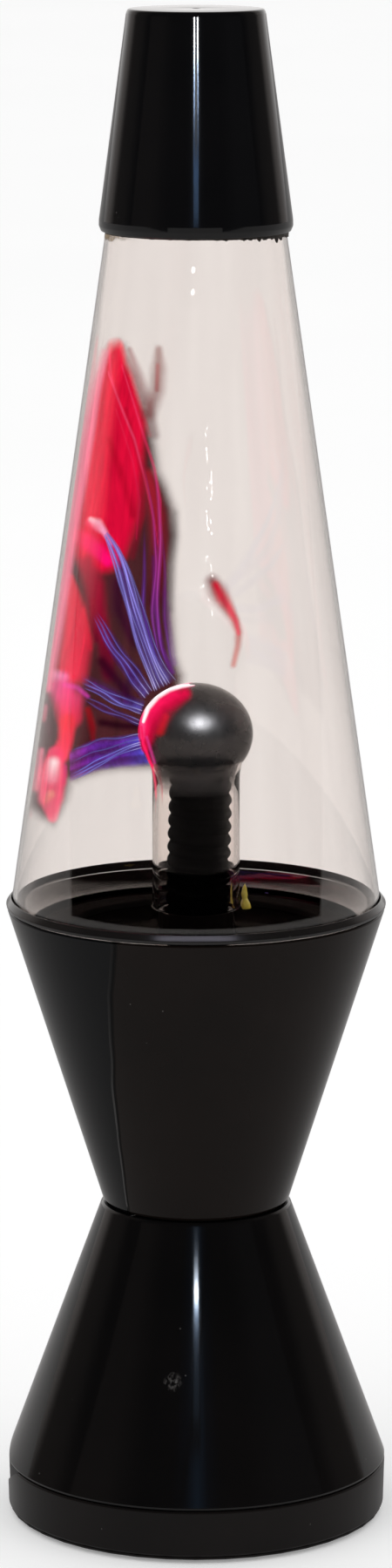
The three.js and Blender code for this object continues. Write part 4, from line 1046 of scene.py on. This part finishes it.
# edges of the fans from the ball to the glass, and free strands: (x, y, z), mm
FANS = [
    {"a": [(-9.71, -2, 191.2), (-11.71, 3, 196.51), (-14.1, 7, 201.83), (-15.9, 10, 207.34), (-17.52, 14, 212.7), (-18.93, 17, 218.25), (-20.75, 20, 222.81), (-22.56, 22, 226.13)],
     "b": [(-3.82, -2, 194.19), (-6.39, 2, 196.48), (-8.76, 5, 200.77), (-10.95, 9, 206.5), (-13.15, 13, 212.26), (-14.96, 16, 217), (-17.56, 19, 221.35), (-21.77, 22, 225.93)],
     "near": (120, 120, 236), "mid": (74, 50, 176), "far": (150, 50, 170), "thread": (134, 126, 216), "alpha": 0.36, "fade": 0.5,
     "threads": [(0.08, 0.08, 0.14, 0.8), (0.16, 0.2, 0.2, 1.0), (0.28, 0.3, 0.13, 0.7), (0.44, 0.62, 0.17, 0.9), (0.56, 0.74, 0.21, 1.1), (0.66, 0.84, 0.14, 0.8), (0.9, 0.96, 0.11, 0.5)]},
    {"a": [(-12.07, -2, 189.21), (-15.66, 4, 192.95), (-19.29, 10, 196.92), (-21.73, 15, 200.3), (-24.19, 20, 204.31)],
     "b": [(-9.32, -2, 192), (-12.5, 4, 195.74), (-16.11, 10, 199.53), (-19.54, 15, 203.31), (-22.59, 20, 206.73)],
     "near": (110, 100, 226), "mid": (84, 34, 150), "far": (130, 30, 110), "thread": (110, 98, 200), "alpha": 0.36, "fade": 0.8,
     "threads": [(0.25, 0.3, 0.15, 0.8), (0.55, 0.55, 0.17, 0.9), (0.82, 0.8, 0.12, 0.7)]},
    {"a": [(-12.47, -2, 186.02), (-16.48, 5, 186.36), (-21.31, 11, 187.91), (-26.2, 18, 188.49)],
     "b": [(-11.09, -2, 189.61), (-15.48, 5, 189.97), (-20.5, 11, 191.53), (-26.58, 18, 192.94)],
     "near": (112, 110, 232), "mid": (74, 36, 150), "far": (150, 40, 150), "thread": (118, 116, 208), "alpha": 0.36, "fade": 0.7,
     "threads": [(0.3, 0.35, 0.2, 1.0), (0.62, 0.6, 0.13, 0.8), (0.1, 0.12, 0.13, 0.8)]},
    {"a": [(-12.86, -2, 183.23), (-16.08, 4, 183.54), (-20.71, 10, 184.06), (-25.8, 17, 185.43)],
     "b": [(-12.47, -2, 185.22), (-15.88, 4, 185.74), (-20.5, 10, 186.68), (-25.79, 17, 187.45)],
     "near": (104, 96, 214), "mid": (70, 26, 120), "far": (130, 30, 110), "thread": (110, 98, 192), "alpha": 0.3, "fade": 0.8,
     "threads": [(0.4, 0.4, 0.12, 0.7), (0.8, 0.85, 0.11, 0.7)]},
    {"a": [(-12.67, -2, 182.23), (-17.66, 4, 180.53), (-23.7, 10, 178.62), (-29.21, 16, 174.88)],
     "b": [(-9.73, -2, 174.23), (-16.7, 4, 172.49), (-22.74, 10, 170.54), (-29.02, 15, 167.16)],
     "near": (88, 80, 214), "mid": (98, 42, 160), "far": (150, 48, 168), "thread": (114, 114, 210), "alpha": 0.92, "fade": 0.2,
     "threads": [(0.05, 0.06, 0.12, 0.6), (0.28, 0.74, 0.17, 1.0), (0.34, 0.84, 0.18, 1.0), (0.42, 0.92, 0.13, 0.8), (0.2, 0.4, 0.1, 0.6)]},
]
STRANDS = [
    ([(-11, 22, 245.53), (-8.83, 22, 234.54), (-8.04, 20, 222.81), (-9.02, 16, 209.38), (-8.2, 9, 200.5), (-5.8, 1, 194.86)], 0.2, (226, 60, 110), (120, 70, 200), 0.9),
    ([(-12.59, 22, 242.54), (-9.83, 21, 228.68), (-9.03, 18, 217.09), (-10.2, 13, 206.85), (-8.58, 6, 199), (-6.97, 0, 194.84)], 0.18, (210, 50, 100), (120, 70, 200), 0.8),
    ([(-7.85, 22, 226.53), (-7.05, 18, 215.09), (-7.23, 13, 205.85), (-5.81, 5, 198.17), (-4.61, 0, 194.84)], 0.18, (130, 40, 90), (120, 60, 180), 0.7),
    ([(-11.81, 20, 226.82), (-11.8, 17, 215.24), (-12.17, 13, 207.85), (-9.76, 6, 200), (-7.76, 0, 194.64)], 0.2, (120, 40, 120), (110, 80, 220), 0.7),
]


# 1. the film on the inside of the glass, at the left and the back
film_mat = glow_material("film_glow", gain=FILM_GAIN)
na, nz = 150, 330
A0, A1, ZA, ZB = 90.0, 194.0, 152.0, 274.0
ang = np.radians(np.linspace(A0, A1, na))
zz = np.linspace(ZA, ZB, nz)
AA, ZZ = np.meshgrid(ang, zz)
rr = r_glass(ZZ) - W - 0.12
P = np.stack([rr * np.cos(AA), rr * np.sin(AA), ZZ], -1).reshape(-1, 3)
x, z = flat_xz(P)
rgba = np.zeros((len(P), 4))
d = inside_distance(x, z, REGION)
fringe = np.array(lin(88, 78, 74))
over(rgba, fringe, 0.45 * smooth((d + 2.6) / 3.6))
over(rgba, np.array(lin(*DARK)), 0.97 * smooth((d + 1.9) / 4.4))
paint(rgba, x, z, FILM)
rgba[:, 3] *= smooth((d + 2.4) / 4.2)
paint(rgba, x, z, LOOSE)
fade_side = smooth((A1 - np.degrees(AA.ravel())) / 7.0) * smooth((np.degrees(AA.ravel()) - A0) / 3.0)
rgba[:, 3] *= fade_side
keep = rgba[:, 3] > 0.004
idx = -np.ones(len(P), int)
faces = []
for i in range(nz - 1):
    for j in range(na - 1):
        q = (i * na + j, i * na + j + 1, (i + 1) * na + j + 1, (i + 1) * na + j)
        if keep[q[0]] or keep[q[1]] or keep[q[2]] or keep[q[3]]:
            faces.append(q)
used = sorted({k for q in faces for k in q})
idx[used] = np.arange(len(used))
faces = [tuple(int(idx[k]) for k in q) for q in faces]
film = make("discharge_film", P[used] * MM, faces, film_mat, sharp=0)
coloured(film, rgba[used])

# 2. fans of violet light between the ball and the film, and the threads in them
fan_mat = glow_material("fan_glow", streak=(1, 1, 1), scale=330, low=0.55, high=1.35, gain=FAN_GAIN)
thread_mat = glow_material("thread_glow", scale=120, low=0.8, high=1.2, gain=THREAD_GAIN, facing=(0.05, 0.85))


def resample(points, count):
    p = np.array(points, float)
    s = np.r_[0, np.cumsum(np.linalg.norm(np.diff(p, axis=0), axis=1))]
    t = np.linspace(0, s[-1], 40)
    q = np.stack([np.interp(t, s, p[:, k]) for k in range(p.shape[1])], -1)
    for _ in range(3):
        q[1:-1] = 0.25 * q[:-2] + 0.5 * q[1:-1] + 0.25 * q[2:]
    s = np.r_[0, np.cumsum(np.linalg.norm(np.diff(q, axis=0), axis=1))]
    t = np.linspace(0, s[-1], count)
    return np.stack([np.interp(t, s, q[:, k]) for k in range(q.shape[1])], -1)


rng = np.random.default_rng(7)
tube_v, tube_f, tube_c = [], [], []


def tube(path, radius, colour, alpha, sides=7):
    """A thread of light; radius, colour and alpha are given along the path."""
    n = len(path)
    tan = np.gradient(path, axis=0)
    tan /= np.linalg.norm(tan, axis=1)[:, None] + 1e-9
    side = np.cross(tan, (0.0, 1.0, 0.0))
    side /= np.linalg.norm(side, axis=1)[:, None] + 1e-9
    other = np.cross(tan, side)
    base = len(tube_v)
    for i in range(n):
        for k in range(sides):
            a = 2 * math.pi * k / sides
            p = path[i] + radius[i] * (math.cos(a) * side[i] + math.sin(a) * other[i])
            tube_v.append(tuple(p * MM))
            tube_c.append((*colour[i], alpha[i]))
    for i in range(n - 1):
        for k in range(sides):
            j = (k + 1) % sides
            tube_f.append((base + i * sides + k, base + i * sides + j, base + (i + 1) * sides + j, base + (i + 1) * sides + k))
    tube_f.append(tuple(base + k for k in range(sides))[::-1])
    tube_f.append(tuple(base + (n - 1) * sides + k for k in range(sides)))


for num, fan in enumerate(FANS):
    nu, nv = 60, 26
    a, b = resample(fan["a"], nu), resample(fan["b"], nu)
    u = np.linspace(0, 1, nu)[:, None]
    v = np.linspace(0, 1, nv)[None, :]
    grid = a[:, None, :] * (1 - v[..., None]) + b[:, None, :] * v[..., None]
    grid[..., 1] -= 1.2 * np.sin(np.pi * v) * np.sin(np.pi * u)
    c0, c1, c2 = (np.array(lin(*fan[k])) for k in ("near", "mid", "far"))
    w0 = smooth(1 - u / 0.35)
    w2 = smooth((u - 0.6) / 0.4)
    col = c0 * w0[..., None] + c1 * (1 - w0 - w2).clip(0)[..., None] + c2 * w2[..., None]
    col = np.broadcast_to(col, (nu, nv, 3)).copy()
    strands = 0.6 + 0.8 * np.interp(v.ravel(), np.linspace(0, 1, 13), rng.random(13)) ** 1.5
    edge = smooth(v / 0.22) * smooth((1 - v) / 0.22)
    alpha = fan["alpha"] * edge * smooth(u / 0.05) * (1 - fan["fade"] * smooth((u - 0.75) / 0.25)) * strands[None, :].clip(0, 1)
    rgba = np.concatenate([col * strands[None, :, None], alpha[..., None]], -1).reshape(-1, 4)
    faces = [(i * nv + j, i * nv + j + 1, (i + 1) * nv + j + 1, (i + 1) * nv + j) for i in range(nu - 1) for j in range(nv - 1)]
    o = make("discharge_fan_%d" % (num + 1), grid.reshape(-1, 3) * MM, faces, fan_mat, sharp=0)
    coloured(o, rgba)
    for s in fan["threads"]:
        v0, v1, width, bright = s
        t = np.linspace(0, 1, 44)
        vv = v0 + (v1 - v0) * smooth(t)
        A, B = resample(fan["a"], 44), resample(fan["b"], 44)
        path = A * (1 - vv[:, None]) + B * vv[:, None]
        ph = rng.random(2) * 6.28
        wob = 0.12 + 0.26 * rng.random(2)
        path[:, 0] += wob[0] * np.sin(t * (6 + 5 * rng.random()) + ph[0]) * np.sin(np.pi * t)
        path[:, 2] += wob[1] * np.sin(t * (7 + 6 * rng.random()) + ph[1]) * np.sin(np.pi * t)
        path[:, 1] -= 1.6 * np.sin(np.pi * t)
        tc = np.array(lin(*fan["thread"]))
        white = np.array(lin(235, 225, 255))
        heat = smooth(1 - t / 0.25)[:, None] * 0.55
        flick = 0.7 + 0.6 * np.interp(t, np.linspace(0, 1, 9), rng.random(9))
        colour = (tc * (1 - heat) + white * heat) * bright * flick[:, None]
        rad_ = width * (0.55 + 0.45 * np.sin(np.pi * np.clip(t * 0.8 + 0.1, 0, 1)))
        al = 0.9 * smooth(t / 0.04) * smooth((1 - t) / 0.18)
        tube(path, rad_, colour, al)
        tube(path + np.array((0, 0.3, 0)), rad_ * 3.2, np.tile(tc * 0.75 * bright, (44, 1)), al * 0.20)
for path, width, c0, c1, bright in STRANDS:
    p = resample(path, 44)
    t = np.linspace(0, 1, 44)
    colour = (np.array(lin(*c0))[None] * (1 - t[:, None]) + np.array(lin(*c1))[None] * t[:, None]) * bright
    shape = 0.35 + 0.65 * np.sin(np.pi * t)
    tube(p, width * shape, colour, 0.6 * smooth(t / 0.25) * smooth((1 - t) / 0.2))
    tube(p + np.array((0, 0.3, 0)), width * 3.4 * shape, colour * 0.8, 0.22 * smooth(t / 0.25) * smooth((1 - t) / 0.2))
threads = make("discharge_threads", tube_v, tube_f, thread_mat, sharp=0)
coloured(threads, np.array(tube_c))

# 3. the glow on the ball and down the left of the post, just off the glass
prof = [(BALL_R * math.cos(rad(a)), BALL_Z + BALL_H * math.sin(rad(a))) for a in range(84, -40, -2)]
prof += [(9.97, 172.6), (STEM_R, 170.8), (STEM_R, 168), (STEM_R, 165), (STEM_R, 162), (STEM_R, 159), (STEM_R, 156), (STEM_R, 153), (STEM_R, 150)]
fine = []
for (r0, z0), (r1, z1) in zip(prof, prof[1:]):
    for k in range(2):
        fine.append((r0 + (r1 - r0) * k / 2, z0 + (z1 - z0) * k / 2))
na = 130
pts = []
for r, z_ in fine:
    for k in range(na):
        a = rad(108 + (292 - 108) * k / (na - 1))
        pts.append(((r + 0.22) * math.cos(a), (r + 0.22) * math.sin(a), z_))
P = np.array(pts)
x, z = flat_xz(P)
rgba = np.zeros((len(P), 4))
paint(rgba, x, z, BALL)
edge_a = np.tile(np.minimum(np.arange(na), na - 1 - np.arange(na)) / 8.0, len(fine))
rgba[:, 3] *= smooth(edge_a)
faces = []
for i in range(len(fine) - 1):
    for j in range(na - 1):
        q = (i * na + j, i * na + j + 1, (i + 1) * na + j + 1, (i + 1) * na + j)
        if max(rgba[k, 3] for k in q) > 0.004:
            faces.append(q)
used = sorted({k for q in faces for k in q})
idx = {k: i for i, k in enumerate(used)}
glow = make("ball_glow", P[used] * MM, [tuple(idx[k] for k in q) for q in faces], glow_material("ball_glow", streak=(1, 1, 1), scale=260, low=0.85, high=1.15, gain=BALL_GAIN), sharp=0)
coloured(glow, rgba[used])

# 4. the loose wisp near the front of the glass, to the right
na, nz = 60, 90
ang = np.radians(np.linspace(-92, -48, na))
zz = np.linspace(192, 224, nz)
AA, ZZ = np.meshgrid(ang, zz)
rr = r_glass(ZZ) - W - 0.7
P = np.stack([rr * np.cos(AA), rr * np.sin(AA), ZZ], -1).reshape(-1, 3)
x, z = flat_xz(P)
rgba = np.zeros((len(P), 4))
paint(rgba, x, z, WISP)
faces = []
for i in range(nz - 1):
    for j in range(na - 1):
        q = (i * na + j, i * na + j + 1, (i + 1) * na + j + 1, (i + 1) * na + j)
        if max(rgba[k, 3] for k in q) > 0.004:
            faces.append(q)
used = sorted({k for q in faces for k in q})
idx = {k: i for i, k in enumerate(used)}
wisp = make("discharge_wisp", P[used] * MM, [tuple(idx[k] for k in q) for q in faces], film_mat, sharp=0)
coloured(wisp, rgba[used])

# 5. the amber smear of adhesive at the left under the cap
na, nz = 50, 24
ang = np.radians(np.linspace(176, 232, na))
zz = np.linspace(Z_CAP - 2.4, Z_CAP + 0.4, nz)
AA, ZZ = np.meshgrid(ang, zz)
rr = r_glass(ZZ) + 0.06
P = np.stack([rr * np.cos(AA), rr * np.sin(AA), ZZ], -1).reshape(-1, 3)
u = (np.degrees(AA.ravel()) - 176) / 56
v = (ZZ.ravel() - (Z_CAP - 2.4)) / 2.8
a = smooth(u / 0.10) * smooth((1 - u) / 0.5) * smooth((v - 0.12 - 0.35 * u - 0.16 * np.sin(u * 17) * np.sin(u * 7 + 1)) / 0.25)
rgba = np.ones((len(P), 4))
rgba[:, 3] = a
faces = [(i * na + j, i * na + j + 1, (i + 1) * na + j + 1, (i + 1) * na + j) for i in range(nz - 1) for j in range(na - 1)]
smear = make("glue_smear", P * MM, faces, amber_mat.mat, slot="sealant_black", sharp=0)
coloured(smear, rgba)

# ------------------------------------------------------------------ floor and light
def plane(name, size, centre, rot, material):
    v = [(-size[0] / 2, -size[1] / 2, 0), (size[0] / 2, -size[1] / 2, 0), (size[0] / 2, size[1] / 2, 0), (-size[0] / 2, size[1] / 2, 0)]
    mesh = bpy.data.meshes.new(name)
    mesh.from_pydata(v, [], [(0, 1, 2, 3)])
    mesh.materials.append(material)
    o = bpy.data.objects.new(name, mesh)
    o.location, o.rotation_euler = centre, rot
    scene.collection.objects.link(o)
    o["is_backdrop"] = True
    return o


n = Nodes("floor_pale")
n.to("Base Color", n.mix(n.noise(3, 2), (0.90, 0.90, 0.90), (0.93, 0.93, 0.93)))
n.set(Roughness=0.9, Specular_IOR_Level=0.1, Emission_Color=(1, 1, 1, 1), Emission_Strength=FLOOR_GLOW)
plane("floor", (80, 80), (0, 0, -0.0002), (0, 0, 0), n.mat)

# narrow standing lights in front, each seen only as a reflection in one piece


def shown_on(light, *objs):
    group = bpy.data.collections.new(light.name + "_on")
    for o in objs:
        group.objects.link(o)
    light.light_linking.receiver_collection = group


def strip(name, size, where, ramp, gain, *objs, across=False):
    n = Nodes(name)
    sep = n.new("ShaderNodeSeparateXYZ")
    n.link(n.coord, sep.inputs[0])
    k = 0 if across else 1
    up = n.span(sep.outputs["XY"[k]], 0, 1, -size[k] / 2, size[k] / 2)
    n.to("Emission Color", n.ramp(up, ramp))
    n.set(Base_Color=(0, 0, 0, 1), Specular_IOR_Level=0.0, Emission_Strength=gain)
    o = plane(name, size, where, (rad(90), 0, 0), n.mat)
    o.visible_camera = o.visible_diffuse = o.visible_shadow = o.visible_transmission = False
    shown_on(o, *objs)
    return o


strip("strip_high", (STRIP_W, 0.17), (STRIP_X, -1.6, 0.57 + 0.085), CAP_RAMP, CAP_GAIN, cap)
strip("strip_low", (LOW_W, 0.20), (STRIP_X, -1.59, 0.61 + 0.10), LOW_RAMP, LOW_GAIN, lower)
rim = strip("strip_rim", (1.3, 0.3), (0.0, -1.0, 1.9), [(0.0, (0.85, 0.82, 1.0)), (1.0, (0.85, 0.82, 1.0))], RIM_GAIN, bezel)
rim.rotation_euler = (rad(28.6), 0, 0)
strip("glow_high", (GLOW_W, 0.5), (0.0, -1.64, 0.57 + 0.085), GLOW_RAMP, GLOW_HIGH, cap, across=True)
strip("glow_low", (GLOW_W, 0.5), (0.02, -1.64, 0.61 + 0.10), GLOW_RAMP, GLOW_LOW, lower, across=True)
for k, (x0, x1, ramp, level) in enumerate(PANELS):
    strip("panel_%d" % k, (x1 - x0, 1.6), ((x0 + x1) / 2, -1.66, 0.95), ramp, level, cap, lower, across=True)

# short bright marks below it, which the glass shows as drops and dashes
n = Nodes("dash_light")
n.set(Base_Color=(0, 0, 0, 1), Specular_IOR_Level=0.0, Emission_Color=(1, 1, 1, 1), Emission_Strength=DASH_GAIN)
verts, faces = [], []
for x_, z_, w_, h_ in DASHES:
    k = len(verts)
    for j in range(12):
        a = 2 * math.pi * j / 12
        verts.append((x_ + w_ / 2 * math.cos(a), -1.6, z_ + h_ / 2 * math.sin(a)))
    faces.append(tuple(range(k, k + 12)))
mesh = bpy.data.meshes.new("dash_light")
mesh.from_pydata(verts, [], faces)
mesh.materials.append(n.mat)
dash = bpy.data.objects.new("dash_light", mesh)
scene.collection.objects.link(dash)
dash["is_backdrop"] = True
shown_on(dash, vessel)
dash.visible_camera = dash.visible_diffuse = dash.visible_shadow = dash.visible_transmission = False


def area(name, size, where, aim, power, colour=(1, 1, 1), glossy=False):
    d = bpy.data.lights.new(name, "AREA")
    d.shape, d.size, d.size_y = "RECTANGLE", size[0], size[1]
    d.energy, d.color = power, colour
    o = bpy.data.objects.new(name, d)
    o.location = where
    o.rotation_euler = (Vector(aim) - Vector(where)).to_track_quat("-Z", "Y").to_euler()
    scene.collection.objects.link(o)
    o.visible_glossy = glossy
    o.visible_transmission = False
    return o


area("key", (1.6, 1.6), (-1.1, -1.3, 2.0), (0, 0, 0.15), KEY_POWER)
area("fill", (1.6, 1.6), (1.4, -0.9, 1.6), (0, 0, 0.15), KEY_POWER * 0.45)

ball_key = area("ball_key", (0.95, 0.50), (0.27, -1.6, 1.48), (0, 0, BALL_Z * MM), BALL_KEY, (0.76, 0.88, 1.0), glossy=True)
shown_on(ball_key, lining)

world = bpy.data.worlds.new("studio")
scene.world = world
world.use_nodes = True
t = world.node_tree
t.nodes.clear()
out = t.nodes.new("ShaderNodeOutputWorld")
path = t.nodes.new("ShaderNodeLightPath")
coord = t.nodes.new("ShaderNodeTexCoord")
sep = t.nodes.new("ShaderNodeSeparateXYZ")
t.links.new(coord.outputs["Generated"], sep.inputs[0])
def graded(stops):
    """Grey level by the direction's Y: minus one is towards the viewer, plus one away behind the lamp."""
    m = t.nodes.new("ShaderNodeMapRange")
    m.inputs["From Min"].default_value = -1.0
    m.inputs["From Max"].default_value = 1.0
    t.links.new(sep.outputs["Y"], m.inputs["Value"])
    r = t.nodes.new("ShaderNodeValToRGB")
    r.color_ramp.interpolation = "EASE"
    while len(r.color_ramp.elements) < len(stops):
        r.color_ramp.elements.new(0.5)
    for k, (y, _) in enumerate(stops):
        r.color_ramp.elements[k].position = (y + 1) / 2
    for k, (_, c) in enumerate(stops):
        r.color_ramp.elements[k].color = tuple(c) + (1.0,)
    t.links.new(m.outputs["Result"], r.inputs["Fac"])
    return r.outputs["Color"]


studio = t.nodes.new("ShaderNodeBackground")
t.links.new(graded(WORLD_STUDIO), studio.inputs["Color"])
plain = t.nodes.new("ShaderNodeBackground")
plain.inputs["Strength"].default_value = WORLD_PLAIN
mixer = t.nodes.new("ShaderNodeMixShader")
through = t.nodes.new("ShaderNodeMath")
through.operation = "GREATER_THAN"
through.inputs[1].default_value = 0.5
t.links.new(path.outputs["Transmission Depth"], through.inputs[0])
room = t.nodes.new("ShaderNodeBackground")
t.links.new(graded(WORLD_ROOM), room.inputs["Color"])
pick = t.nodes.new("ShaderNodeMixShader")
t.links.new(through.outputs[0], pick.inputs["Fac"])
t.links.new(studio.outputs[0], pick.inputs[1])
t.links.new(room.outputs[0], pick.inputs[2])
seen = t.nodes.new("ShaderNodeMath")
seen.operation = "GREATER_THAN"
seen.inputs[1].default_value = 0.5
t.links.new(path.outputs["Glossy Depth"], seen.inputs[0])
t.links.new(seen.outputs[0], mixer.inputs["Fac"])
t.links.new(plain.outputs[0], mixer.inputs[1])
t.links.new(pick.outputs[0], mixer.inputs[2])
t.links.new(mixer.outputs[0], out.inputs["Surface"])

low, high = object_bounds()
